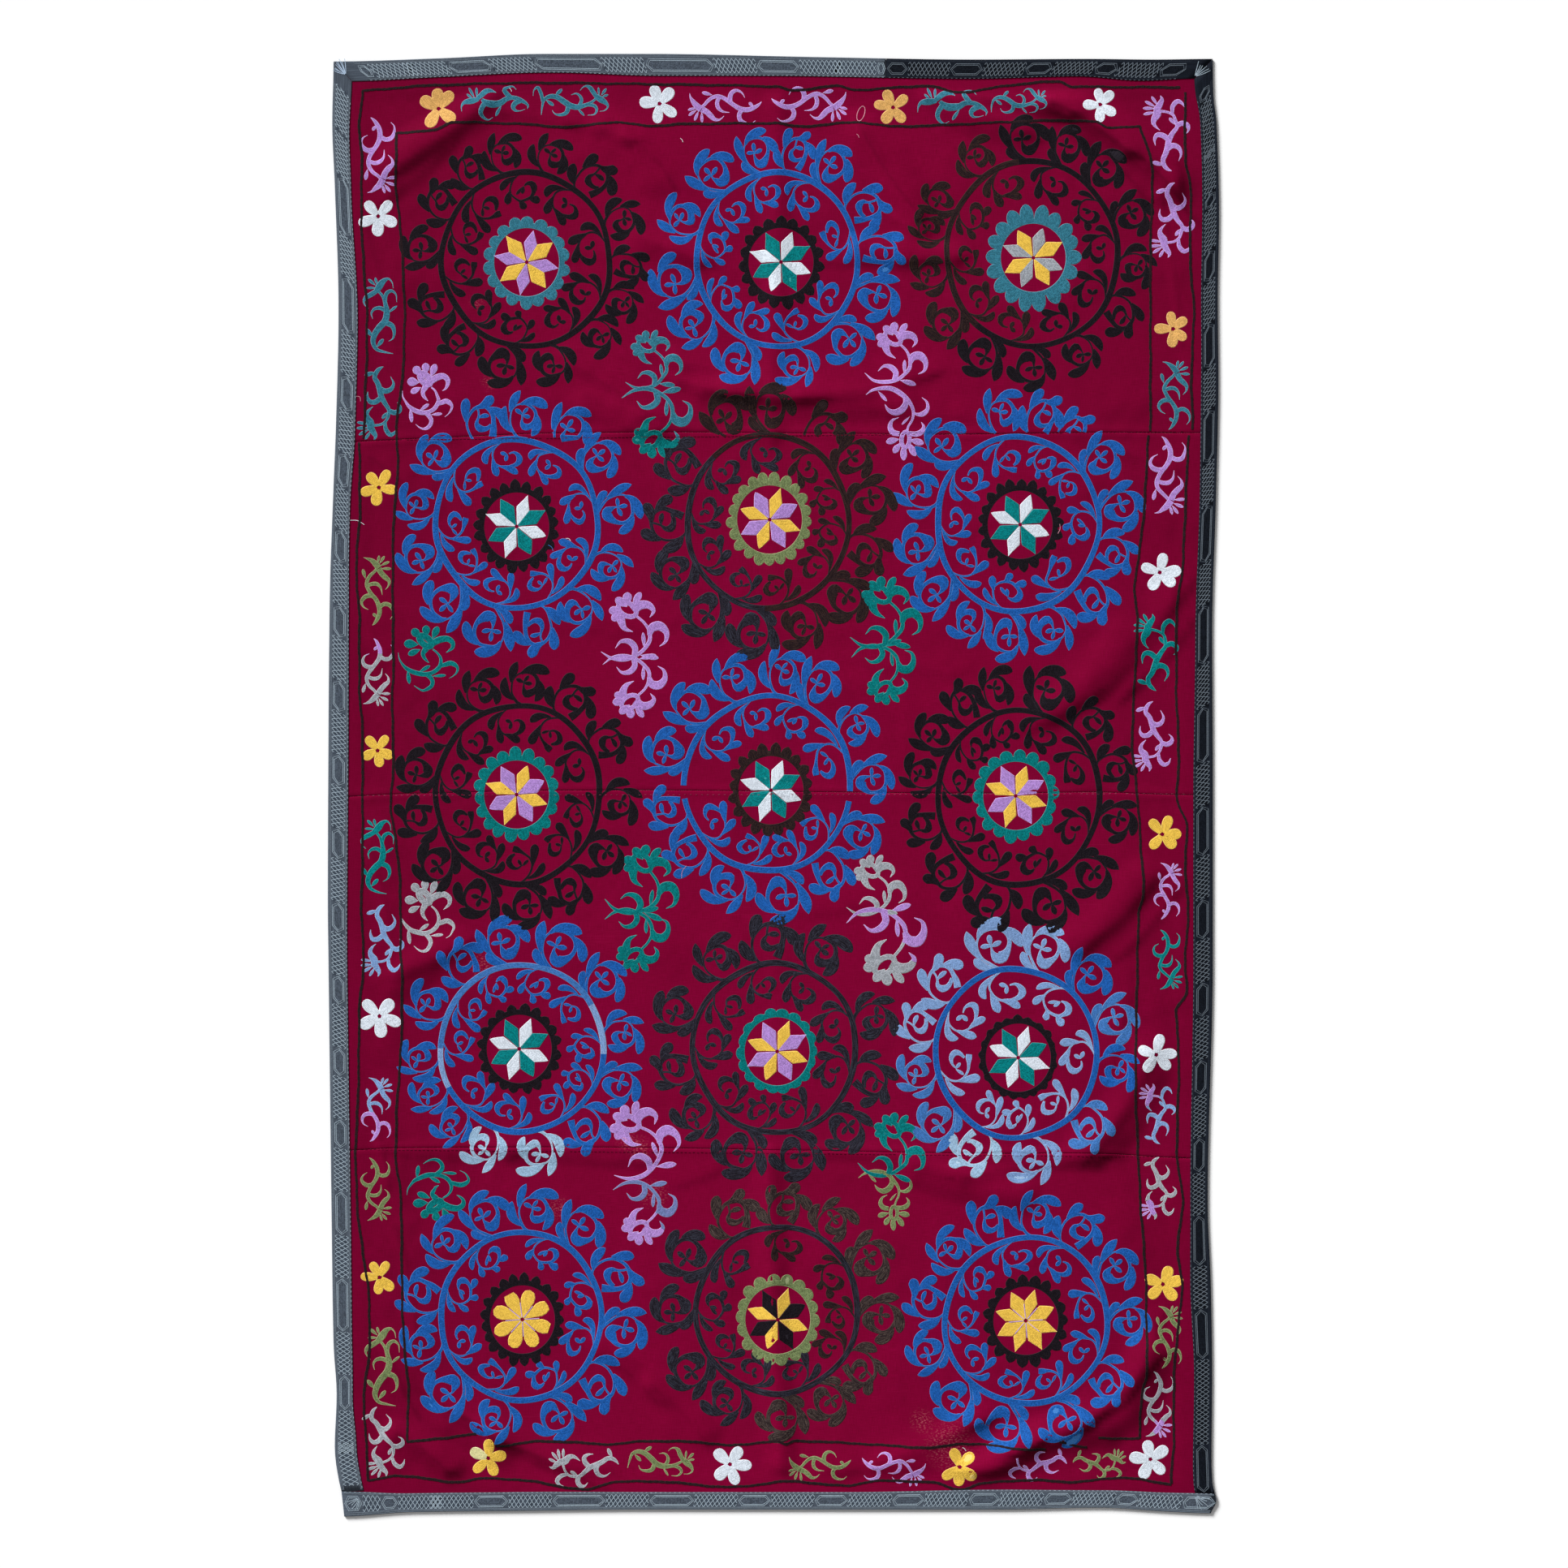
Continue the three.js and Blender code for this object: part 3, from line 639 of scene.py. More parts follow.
class Stitching:
    """Stitched shapes gathered into one piece."""

    def __init__(self, name, surface=cloth_face):
        self.name = name
        self.surface = surface
        self.points, self.faces, self.stitch, self.kinds, self.used = [], [], [], [], []
        self.count = 0

    def kind(self, colour):
        if colour not in self.used:
            self.used.append(colour)
        return self.used.index(colour)

    def stroke(self, line, colour, rise=None, lift=0.0, closed=False):
        """One stitched band along a line of rows (x, y, half width), domed across."""
        line = np.asarray(line, float)
        n = len(line)
        if closed:
            back, fore = np.roll(line, 1, 0), np.roll(line, -1, 0)
        else:
            back, fore = np.vstack([line[:1], line[:-1]]), np.vstack([line[1:], line[-1:]])
        way = fore[:, :2] - back[:, :2]
        way /= np.hypot(*way.T)[:, None] + 1e-9
        side = np.stack([-way[:, 1], way[:, 0]], 1)
        half = line[:, 2]
        xy = line[:, None, :2] + side[:, None] * (half[:, None] * ACROSS)[..., None]
        if rise is None:
            rise = np.clip(0.22 + 0.03 * half, 0.24, 0.42)
        base = self.surface(xy[..., 0], xy[..., 1])
        domed = np.reshape(rise, (-1, 1)) * DOME
        z = base + lift + np.where(DOME > 0, domed, -THREAD_SINK)
        step = np.hypot(*(line[1:, :2] - line[:-1, :2]).T)
        run = np.concatenate([[0], np.cumsum(step)]) + random.uniform(0, 400)
        stitch = np.stack([np.repeat(run[:, None], 5, 1), half[:, None] * ACROSS + run[0],
                           half[:, None] * (1 - np.abs(ACROSS))], -1)
        start = self.count
        self.points.append(np.concatenate([xy, z[..., None]], -1).reshape(-1, 3))
        self.stitch.append(stitch.reshape(-1, 3))
        rows = np.arange(n if closed else n - 1)
        a = start + rows * 5
        b = start + (rows + 1) % n * 5
        for k in range(4):
            self.faces.append(np.stack([a + k + 1, a + k, b + k, b + k + 1], 1))
        self.faces.append(np.stack([a, a + 4, b + 4, b], 1))
        new = 5 * len(rows)
        if not closed:
            first = start + np.arange(5)
            last = start + 5 * (n - 1) + np.arange(5)
            self.faces.append(np.array([[first[0], first[1], first[3], first[4]],
                                        [first[1], first[2], first[3], first[3]]]))
            self.faces.append(np.array([[last[4], last[3], last[1], last[0]],
                                        [last[3], last[2], last[1], last[1]]]))
            new += 4
        self.kinds.append(np.full(new, self.kind(colour)))
        self.count += 5 * n

    def leaf(self, base, middle, tip, half, colour, belly=0.62, root=0.0, blunt=0.5, **more):
        """A plump lobe from base to tip by way of middle.

        belly: how far along it is widest. root: its width at the base. blunt: 0.5 is a round tip.
        """
        base, middle, tip = (np.array(p, float) for p in (base, middle, tip))
        s = 1 - (1 - np.linspace(0, 1, 11)) ** 1.5
        control = 2 * middle - (base + tip) / 2
        xy = (base * (1 - s[:, None]) ** 2 + 2 * control * (s * (1 - s))[:, None] + tip * s[:, None] ** 2)
        grow = root + (1 - root) * np.sin(np.pi / 2 * np.clip(s / belly, 0, 1)) ** 1.1
        shut = np.clip(1 - (np.clip(s - belly, 0, 1) / (1 - belly)) ** 2, 0, 1) ** blunt
        width = np.maximum(half * np.where(s < belly, grow, shut), 0.08)
        self.stroke(ribbon(*xy.T, width), colour, **more)

    def piece(self, slot="embroidery_thread"):
        faces = [[a, b, c] if c == d else [a, b, c, d] for part in self.faces for a, b, c, d in part.tolist()]
        return mesh_piece(self.name, np.concatenate(self.points), faces, np.concatenate(self.stitch),
                          [thread(c) for c in self.used], np.concatenate(self.kinds), soft=False)


# the four panels

# Shade painted on the cloth: darker where it turns from the light, towards the cover's sides and at its
# creases.
PAINTED_SHADE_TURNED, PAINTED_SHADE_SIDES, PAINTED_SHADE_CREASED = 0.62, 0.3, 0.4
SHEEN_MIDDLE, SHEEN_HALF, SHEEN_FADE = 20, 230, 420      # the middle strip with painted sheen, and how slowly it ends into painted shade towards the sides
# Places where the cloth is rubbed.
WORN = table("x y reach",
    (-462, -286, 26), (-214, -577, 26), (-339, -674, 24), (-470, 767, 14), (280, -1050, 50),
    (236, -1010, 24), (-190, -650, 30), (-232, -565, 22), (-453, 640, 14))


def cloth_piece(panel):
    """One panel as a thin closed sheet."""
    rows, across = panel.x.shape
    face = rows * across
    points = np.concatenate([np.stack([panel.x, panel.y, z], -1).reshape(-1, 3)
                             for z in (panel.back, panel.face)])
    i, j = np.meshgrid(np.arange(rows - 1), np.arange(across - 1), indexing="ij")
    a = (i * across + j).ravel()
    under = np.stack([a, a + across, a + across + 1, a + 1], 1)
    over = face + under[:, ::-1]
    k, m = np.arange(across - 1), np.arange(rows - 1)
    top, right = (rows - 1) * across, across - 1
    sides = [np.stack([k, k + 1, k + 1 + face, k + face], 1),
             np.stack([top + k + 1, top + k, top + k + face, top + k + 1 + face], 1),
             np.stack([(m + 1) * across, m * across, m * across + face, (m + 1) * across + face], 1),
             np.stack([m * across + right, (m + 1) * across + right, (m + 1) * across + right + face,
                       m * across + right + face], 1)]
    name = f"cloth_panel_{len(PANELS) - panel.number}"
    faces = np.concatenate([under, over, *sides])
    piece = mesh_piece(name, points, faces, None, [cotton])
    worn = np.zeros(len(points))
    for spot in WORN:
        far = np.hypot(points[:, 0] - spot["x"], points[:, 1] - spot["y"])
        worn = np.maximum(worn, 1 - smooth(far / spot["reach"]))
    per_point(piece, "worn", worn)
    # Painted shade for the material: on slopes turned from the key light, towards the sides, and at the feet
    # of creases.
    side_shade = smooth((np.abs(panel.x - SHEEN_MIDDLE) - SHEEN_HALF) / SHEEN_FADE)
    painted_shade = PAINTED_SHADE_TURNED * facing_away(panel.x, panel.y) + PAINTED_SHADE_SIDES * side_shade
    painted_shade = painted_shade + PAINTED_SHADE_CREASED * crease_foot_shade(panel.x, panel.y)
    per_point(piece, "painted_shade", np.tile(painted_shade.ravel(), 2))
    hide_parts(f"panel_{len(PANELS) - panel.number}")
    return piece


cloths = [cloth_piece(panel) for panel in PANELS]

# the tape round the edge
EDGES = {
    "left": (LEFT, LENGTH, lambda t, depth: place(depth / WIDTH, t)),
    "right": (RIGHT, LENGTH, lambda t, depth: place(1 - depth / WIDTH, t)),
    "bottom": (BOTTOM, WIDTH, lambda t, depth: place(t, depth / LENGTH)),
    "top": (TOP, WIDTH, lambda t, depth: place(t, 1 - depth / LENGTH)),
}
COLOUR_CHANGE = 0.6285       # how far along the top the tape goes from grey to navy
TAPE_BULGE = 0.9             # how far the tape's fold rounds out, and how far inside it the hollow starts
TAPE_HOLLOW = 1.2
TAPES = table("name edge start stop mitre_start mitre_stop grey",
    ("left", "left", BOTTOM[0]["tape"] / LENGTH, 1, 0, TOP[0]["tape"], True),
    ("right", "right", BOTTOM[-1]["tape"] / LENGTH, 1, 0, TOP[0]["tape"], False),
    ("bottom", "bottom", 0, 1, 0, 0, True),
    ("top_grey", "top", 0, COLOUR_CHANGE, LEFT[-1]["tape"], 0, True),
    ("top_navy", "top", COLOUR_CHANGE, 1, 0, RIGHT[-1]["tape"], False))


def tape_section():
    """The tape's folded section: (depth in millimetres, share of the width, height)."""
    rows = []
    for k in range(7):
        turn = math.pi * k / 6
        rows.append((TAPE_BULGE * (1 - math.sin(turn)), 0, TOP_OF_TAPE / 2 * (1 - math.cos(turn))))
    for share, drop in ((0.1, 0), (0.3, 0), (0.5, 0), (0.7, 0), (0.9, 0), (0.97, 0.1), (1.0, 0.45)):
        rows.append((TAPE_BULGE * (1 - share), share, TOP_OF_TAPE - drop))
    ceiling = TOP_OF_TAPE - TAPE_THICKNESS
    return rows + [(0, 1.0, ceiling), (TAPE_HOLLOW, 0, ceiling), (TAPE_HOLLOW, 0, TAPE_THICKNESS),
                   (0, 1.0, TAPE_THICKNESS), (0, 1.0, 0)]


def on_tape(tape, fraction, depth, width):
    """The place at a fraction of the way along a tape and a depth in from its fold."""
    rows, run, at = EDGES[tape["edge"]]
    gap = AIR * math.sqrt(0.5) / run
    first = tape["start"] + (gap if tape["mitre_start"] or tape["start"] > 0 else 0)
    last = tape["stop"] - (gap if tape["mitre_stop"] or tape["stop"] < 1 else 0)
    outer = mix(first, last, fraction)
    slant = mix(tape["mitre_start"], -tape["mitre_stop"], fraction) / run
    return at(outer + slant * depth / width, depth)


def tape_piece(tape):
    rows, run, _ = EDGES[tape["edge"]]
    long = (tape["stop"] - tape["start"]) * run
    section = tape_section()
    t = np.linspace(0, 1, int(long / 14))
    width = along(rows, "tape", mix(tape["start"], tape["stop"], t))
    points, stitch = [], []
    for wall, share, z in section:
        depth = wall + share * width
        x, y = on_tape(tape, t, depth, width)
        puff = 0.0 if z < TOP_OF_TAPE - 0.2 or share in (0, 1.0) else 0.25
        lift = puff * (0.5 + 0.5 * np.sin(t * long / 37 + 4 * share)) * np.sin(math.pi * share)
        points.append(np.stack([x, y, z + lift], -1))
        stitch.append(np.stack([t * long, depth, np.full(len(t), z)], -1))
    points, stitch = np.stack(points, 1), np.stack(stitch, 1)
    sides = len(section)
    i, j = np.meshgrid(np.arange(len(t) - 1), np.arange(sides), indexing="ij")
    a, b = (i * sides + j).ravel(), (i * sides + (j + 1) % sides).ravel()
    faces = np.stack([a, b, b + sides, a + sides], 1)
    flip = tape["edge"] in ("left", "top")
    if flip:
        faces = faces[:, ::-1]
    faces = faces.tolist()
    ends = [list(range(sides)), [(len(t) - 1) * sides + k for k in range(sides)][::-1]]
    faces += ends if flip else [end[::-1] for end in ends]
    slot = "grey_tape" if tape["grey"] else "navy_tape"
    piece = mesh_piece(f"tape_{tape['name']}", points.reshape(-1, 3), faces, stitch.reshape(-1, 3),
                       [grey_tape if tape["grey"] else navy_tape])
    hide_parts(f"binding_{tape['name']}")
    return piece


tapes = [tape_piece(tape) for tape in TAPES]

# Where the crossed-line blocks of the woven pattern are centred along each tape.
BLOCKS = {
    "left": table("at place", (0, 1088), (3, 697), (11, -261), (14, -606), (18, -1077)),
    "right": table("at place", (0, 1070), (11, -273), (14, -646), (17, -1013)),
    "top_grey": table("at place", (0, -618), (6, 129)),
    "top_navy": table("at place", (0, 249), (1, 372), (2, 486), (3, 593)),
    "bottom": table("at place", (0, -562), (4, -94), (7, 270), (9, 503), (10, 608)),
}
# Where a tape's end shows part of a block: its middle and half length.
EXTRA_BLOCKS = {"bottom": ((-638, 14),)}
BLOCK_HALF = 34
LATTICE = (0.17, 0.87)       # shares of the tape's width between which lines cross
LATTICE_PITCH = 7.0
LATTICE_SLANT = 6.8          # half of what a crossing line runs along the tape
RIBS = (0.05, 0.1, 0.145, 0.9, 0.945)     # shares of the width where a raised rib runs
RIB_HALF, LIGHT_HALF, FIELD_HALF, WINDOW_HALF = 0.36, 0.5, 9.6, 6.8
HEM_PITCH, HEM_LONG, HEM_HALF = 7.5, 3.2, 0.35
PATTERN_LIFT = 0.14          # of the pattern over the tape


def tape_pattern(tape):
    """The light threads of the tape's pattern, its windows and its hem stitches."""
    rows, run, _ = EDGES[tape["edge"]]
    first_at, last_at = rows[0]["at"], rows[-1]["at"]
    shade = "grey" if tape["grey"] else "navy"

    def tape_top(x, y):
        return np.full(np.shape(x), TOP_OF_TAPE + PATTERN_LIFT)

    work = Stitching(f"pattern_{tape['name']}", tape_top)
    low = first_at + tape["start"] * (last_at - first_at) + tape["mitre_start"] * 0.9
    high = first_at + tape["stop"] * (last_at - first_at) - tape["mitre_stop"] * 0.9

    def spot(at, share):
        """A place on the tape from its distance along the edge and its share of the width."""
        fraction = (at - first_at) / (last_at - first_at)
        part = np.clip((fraction - tape["start"]) / (tape["stop"] - tape["start"]), 0, 1)
        width = along(rows, "tape", fraction)
        x, y = on_tape(tape, part, share * width, width)
        return np.stack([x, y], -1)

    def band(at, share, half, colour, rise=0.25, closed=False, lift=0.0):
        xy = spot(np.asarray(at, float), np.asarray(share, float))
        work.stroke(ribbon(*xy.T, half), f"{shade}_{colour}", rise=rise, closed=closed, lift=lift)

    for share in RIBS:
        stations = np.linspace(low + 2, high - 2, int((high - low) / 26))
        band(stations, np.full(len(stations), share), RIB_HALF, "rib", rise=0.2)
    numbered = BLOCKS[tape["name"]]
    centres = through(numbered, "place", np.arange(numbered[0]["at"], numbered[-1]["at"] + 1))
    blocks = sorted([(float(c), BLOCK_HALF) for c in centres] + list(EXTRA_BLOCKS.get(tape["name"], ())))
    spans = [(max(c - h, low), min(c + h, high)) for c, h in blocks]
    for start, stop in spans:
        stations = np.linspace(start + 1, stop - 1, 5)
        band(stations, np.full(5, sum(LATTICE) / 2), FIELD_HALF, "field", rise=0.1)
        for way in (-1, 1):
            for middle in np.arange(start - LATTICE_SLANT + 2, stop + LATTICE_SLANT, LATTICE_PITCH):
                ends = middle + way * np.array([-LATTICE_SLANT, LATTICE_SLANT])
                keep = (np.clip(ends, start, stop) - ends[0]) / (ends[1] - ends[0])
                if keep[1] - keep[0] > 0.12:
                    band(mix(*ends, keep), mix(*LATTICE, keep), LIGHT_HALF, "line", rise=0.3)
    stops = [low] + [stop for _, stop in spans]
    starts = [start for start, _ in spans] + [high]
    for start, stop in zip(stops, starts):
        if stop - start < 14:
            continue
        middle, reach = (start + stop) / 2, (stop - start) / 2 - 1.5
        band(middle + np.linspace(3 - reach, reach - 3, 5), np.full(5, 0.52), WINDOW_HALF, "window", rise=0.1)
        for inset in (0.0, 2.4):
            r = reach - inset
            drop = 0.29 - inset / 34
            corner = min(7.0, r * 0.45)
            at = middle + np.array([-r, corner - r, r - corner, r, r - corner, corner - r])
            shares = 0.52 + np.array([0, -drop, -drop, 0, drop, drop])
            band(at, shares, LIGHT_HALF, "line", rise=0.3, closed=True)
    for at in np.arange(low + 4, high - 4, HEM_PITCH):
        wide = float(along(rows, "tape", (at - first_at) / (last_at - first_at)))
        share = 1 - 0.9 / wide
        band([at, at + HEM_LONG], [share, share], HEM_HALF, "line", rise=0.25, lift=-0.05)
    return work.piece(f"{shade}_tape")


patterns = [tape_pattern(tape) for tape in TAPES]

# Hand stitches that hold the tape at the corners, fanned from a point between two bearings.
CORNERS = table("x y low high count reach colour",
    (-679, 1128, 96, 160, 9, 24, "frayed"), (669, 1125, 20, 74, 6, 26, "grey_line"),
    (-657, -1132, 196, 262, 6, 20, "grey_line"), (669, -1128, 286, 344, 6, 24, "grey_line"))


CORNER_LIFT = 0.35           # of the corner stitches over the tape


def corner_stitches():
    work = Stitching("corner_stitches", lambda x, y: np.full(np.shape(x), TOP_OF_TAPE + CORNER_LIFT))
    for corner in CORNERS:
        for degrees in np.linspace(corner["low"], corner["high"], corner["count"]):
            way = heading(math.radians(degrees + random.uniform(-3, 3)))
            start = np.array([corner["x"], corner["y"]]) + way * random.uniform(2, 5)
            end = start + way * corner["reach"] * random.uniform(0.7, 1.0)
            middle = (start + end) / 2 + random.uniform(-0.8, 0.8, 2)
            line = curve_through([(*start, 0.5), (*middle, 0.55), (*end, 0.4)], 3.0)
            work.stroke(line, corner["colour"], rise=0.3)
    return work.piece("grey_tape")


corners = corner_stitches()

# the rosettes

# wide and tall: half the ring of vine. reach: half the whole rosette. rim: half the scalloped ring.
# turn: the star's, in degrees. tip_a and tip_b: its points by turns. outer and inner: bearings of the curls.
ROSETTES = table("name x y wide tall reach_x reach_y rim_x rim_y star_x star_y turn vine scallop tip_a tip_b "
    "outer inner",
    ("r1c1", -393, 835, 134, 138, 192, 200, 68, 75, -392, 831, 9,
     "black", "teal", "yellow", "lilac",
     (174, 147, 123, 103, 77, 51, 23, -3, -23, -45, -75, -102, -128, -152),
     (158, 129, 94, 56, 12, -29, -60, -98, -132, -168)),
    ("r1c2", 6, 835, 128, 138, 197, 203, 68, 75, 12, 831, 0,
     "blue", "black", "green", "white",
     (158, 127, 101, 81, 60, 32, 6, -20, -49, -79, -111, -141, -168),
     (169, 134, 100, 66, 20, -38, -76, -110, -146)),
    ("r1c3", 411, 844, 135, 148, 193, 209, 76, 85, 413, 838, 0,
     "black", "teal", "yellow", "grey",
     (167, 150, 121, 94, 72, 50, 22, -6, -33, -63, -90, -116, -141, -168),
     (149, 111, 74, 38, 6, -32, -70, -105, -138, -174)),
    ("r2c1", -408, 416, 129, 134, 190, 206, 68, 75, -408, 411, 0,
     "blue", "black", "green", "white",
     (171, 141, 110, 87, 61, 39, 8, -24, -53, -78, -104, -132, -160),
     (140, 100, 62, 15, -32, -67, -105, -140, -176)),
    ("r2c2", -9, 419, 129, 137, 195, 213, 68, 75, -6, 422, 0,
     "navy", "olive", "lilac", "yellow",
     (148, 112, 89, 60, 37, 12, -16, -44, -70, -97, -124, -151, -178),
     (172, 132, 93, 54, 22, -10, -42, -81, -112, -150)),
    ("r2c3", 388, 415, 129, 138, 194, 211, 68, 75, 392, 414, 0,
     "blue", "black", "green", "white",
     (163, 133, 99, 78, 60, 38, 10, -16, -43, -71, -95, -115, -140, -166),
     (180, 139, 100, 68, 39, 0, -52, -100, -142)),
    ("r3c1", -406, -14, 130, 142, 192, 206, 68, 75, -408, -15, 0,
     "black", "jade", "lilac", "yellow",
     (168, 140, 111, 87, 61, 31, -4, -34, -60, -85, -111, -139, -165),
     (167, 131, 97, 63, 27, -17, -50, -87, -116, -151)),
    ("r3c2", -9, 2, 132, 139, 193, 212, 68, 75, -4, -8, 0,
     "blue", "brown", "green", "white",
     (163, 135, 109, 83, 63, 34, 3, -28, -54, -82, -110, -138, -164),
     (138, 101, 68, 23, -42, -74, -104, -144)),
    ("r3c3", 390, -19, 128, 139, 186, 212, 68, 75, 385, -17, 0,
     "black", "jade", "lilac", "yellow",
     (168, 144, 122, 103, 75, 47, 18, -13, -46, -74, -103, -132, -162),
     (169, 135, 105, 71, 29, -29, -75, -115, -148)),
    ("r4c1", -400, -418, 129, 133, 193, 202, 68, 72, -404, -419, 0,
     "blue", "black", "green", "white",
     (156, 126, 100, 70, 40, 9, -20, -50, -80, -110, -131, -152, -173),
     (177, 144, 113, 78, 40, 2, -28, -60, -100, -137)),
    ("r4c2", 2, -418, 129, 135, 195, 206, 64, 69, 6, -423, 0,
     "navy", "jade", "lilac", "yellow",
     (160, 124, 94, 65, 18, -17, -48, -78, -108, -138, -167),
     (178, 139, 102, 66, 22, -20, -72, -102, -136)),
    ("r4c3", 386, -426, 128, 134, 193, 206, 63, 68, 389, -433, 0,
     "blue", "black", "green", "white",
     (165, 137, 102, 75, 47, 19, -8, -44, -80, -113, -138, -167),
     (147, 100, 52, -2, -52, -88, -116, -166)),
    ("r5c1", -401, -844, 128, 133, 196, 201, 68, 75, -399, -849, 0,
     "blue", "black", "yellow", "yellow",
     (169, 137, 110, 84, 56, 25, -8, -40, -70, -103, -134, -162),
     (159, 120, 70, 20, -22, -68, -114, -156)),
    ("r5c2", 6, -834, 128, 133, 195, 197, 68, 75, 7, -849, 0,
     "navy", "olive", "black", "yellow",
     (180, 149, 116, 87, 59, 29, -4, -34, -60, -87, -118, -145),
     (179, 133, 82, 32, -5, -34, -72, -110, -144)),
    ("r5c3", 402, -851, 129, 132, 191, 202, 68, 75, 401, -851, 0,
     "blue", "black", "yellow", "yellow",
     (170, 139, 112, 86, 61, 31, 0, -36, -69, -102, -132, -162),
     (180, 142, 100, 62, 14, -27, -68, -102, -142)))

# Where a vine changes thread, between two bearings. part: ring, outer or inner curls.
CHANGES = table("name part low high colour",
    ("r1c3", "all", 98, 181, "brown"), ("r1c3", "all", -181, -128, "brown"),
    ("r1c3", "inner", -128, -98, "brown"), ("r2c2", "all", -92, 76, "brown"),
    ("r2c2", "outer", 76, 125, "brown"), ("r2c2", "ring", 76, 130, "brown"), ("r4c1", "ring", 32, 181, "mid"),
    ("r4c1", "ring", -4, 32, "light"), ("r4c1", "ring", -181, -152, "light"),
    ("r4c1", "outer", -115, -75, "pale"), ("r4c3", "inner", -181, 181, "light"),
    ("r4c3", "outer", 60, 181, "light"), ("r4c3", "outer", 10, 30, "mid"), ("r4c3", "outer", -60, -30, "mid"),
    ("r4c3", "outer", -90, -70, "light"), ("r4c3", "outer", -120, -100, "pale"),
    ("r4c3", "outer", -181, -125, "mid"), ("r5c2", "outer", -95, 121, "heather"),
    ("r5c2", "inner", -40, 90, "brown"))
# Inner curls that wind the other way, and outer curls that a seam parts from their ring.
TURNED = {"r1c2": (20, -38, -76, -110, -146), "r2c3": (-52, -100)}
CUT = {"r2c1": (110, 87, 61), "r2c2": (112, 89, 60), "r2c3": (99, 78, 60)}

# Curls, read from single curls in the photo, in units of their coil's radius. x goes clockwise along
# the ring and y away from it. A band is rows of (x, y, half width). A leaf is x and y of its base, its middle
# and its tip, then its half width, how far along it is widest, and how blunt its tip is. foot and head are
# where the ring's edge and the highest leaf come.
OUTER_CURLS = (
    {"foot": -1.99, "head": 1.72,
     "bands": (((0.1, -2.05, 0.05), (-0.2, -1.93, 0.1), (-0.58, -1.6, 0.1), (-0.95, -1.12, 0.09),
                (-1.11, -0.48, 0.07), (-1.07, 0.14, 0.07), (-0.85, 0.65, 0.07), (-0.44, 0.94, 0.08),
                (0.03, 1.02, 0.1), (0.51, 0.95, 0.13), (0.92, 0.61, 0.15), (1.11, 0.07, 0.14),
                (1.09, -0.48, 0.17), (0.85, -0.95, 0.28), (0.42, -1.28, 0.42), (0.05, -1.22, 0.36),
                (-0.15, -0.88, 0.18), (-0.2, -0.5, 0.07), (-0.17, -0.25, 0.06)),),
     "leaves": ((-0.24, -2.0, -1.19, -1.6, -1.54, -0.8, 0.31, 0.7, 0.5),
                (-1.12, -1.05, -1.45, 0.2, -1.48, 1.42, 0.37, 0.6, 0.75),
                (-0.88, 0.58, -0.24, 1.33, 0.88, 1.6, 0.38, 0.74, 0.45),
                (0.68, 1.0, 1.39, 0.54, 1.95, -0.4, 0.38, 0.7, 0.45),
                (-0.17, -0.2, -0.17, 0.2, -0.16, 0.62, 0.18, 0.6, 0.5),
                (-0.1, -0.25, -0.5, -0.2, -0.9, -0.15, 0.16, 0.6, 0.5),
                (-0.15, -0.3, 0.2, -0.18, 0.58, -0.02, 0.18, 0.6, 0.5))},
    {"foot": -1.87, "head": 2.2,
     "bands": (((-0.2, -1.95, 0.1), (-0.48, -1.84, 0.12), (-0.85, -1.43, 0.12), (-1.05, -0.82, 0.08),
                (-1.04, -0.07, 0.07), (-0.82, 0.54, 0.07), (-0.34, 0.97, 0.07), (0.2, 1.05, 0.1),
                (0.68, 0.96, 0.14), (1.05, 0.58, 0.15), (1.2, 0.07, 0.18), (1.08, -0.48, 0.22),
                (0.68, -0.84, 0.28), (0.25, -0.92, 0.31), (0.0, -0.62, 0.16), (0.0, -0.2, 0.07),
                (0.0, 0.1, 0.06)),),
     "leaves": ((-0.78, -1.5, -1.67, -0.48, -1.43, 0.85, 0.37, 0.6, 0.5),
                (-1.05, 0.27, -0.75, 1.3, -0.33, 2.2, 0.35, 0.55, 0.75),
                (-0.17, 1.0, 0.82, 1.5, 1.9, 1.25, 0.4, 0.7, 0.45),
                (1.15, 0.4, 1.5, -0.61, 1.12, -1.66, 0.36, 0.6, 0.6),
                (0.0, 0.12, -0.3, 0.32, -0.62, 0.52, 0.18, 0.6, 0.5),
                (0.0, 0.15, 0.2, 0.45, 0.42, 0.78, 0.14, 0.6, 0.5),
                (0.0, 0.1, 0.35, 0.02, 0.7, 0.04, 0.18, 0.6, 0.5))},
    {"foot": -1.5, "head": 2.0,
     "bands": (((-0.65, -1.56, 0.05), (-0.92, -1.42, 0.08), (-1.12, -1.02, 0.09), (-1.16, -0.41, 0.08),
                (-1.02, 0.2, 0.09), (-0.65, 0.75, 0.1), (-0.14, 1.12, 0.12), (0.44, 1.16, 0.13),
                (0.92, 0.88, 0.15), (1.16, 0.34, 0.16), (1.14, -0.2, 0.17), (0.97, -0.82, 0.24),
                (0.76, -1.3, 0.27)),
               ((0.9, -0.36, 0.12), (0.6, -0.54, 0.15), (0.17, -0.6, 0.2), (-0.2, -0.42, 0.26),
                (-0.27, 0.0, 0.16), (-0.05, 0.34, 0.08), (0.05, 0.7, 0.07), (0.08, 1.1, 0.08))),
     "leaves": ((-1.0, -1.3, -1.63, -0.68, -1.75, 0.34, 0.35, 0.65, 0.5),
                (-1.05, 0.35, -0.78, 1.22, -0.44, 1.92, 0.36, 0.65, 0.5),
                (0.0, 1.15, 0.71, 1.35, 1.12, 1.95, 0.36, 0.72, 0.45),
                (0.95, 0.95, 1.6, 0.54, 2.05, -0.17, 0.37, 0.72, 0.45),
                (0.0, 0.36, 0.42, 0.42, 0.85, 0.36, 0.17, 0.6, 0.5))},
)
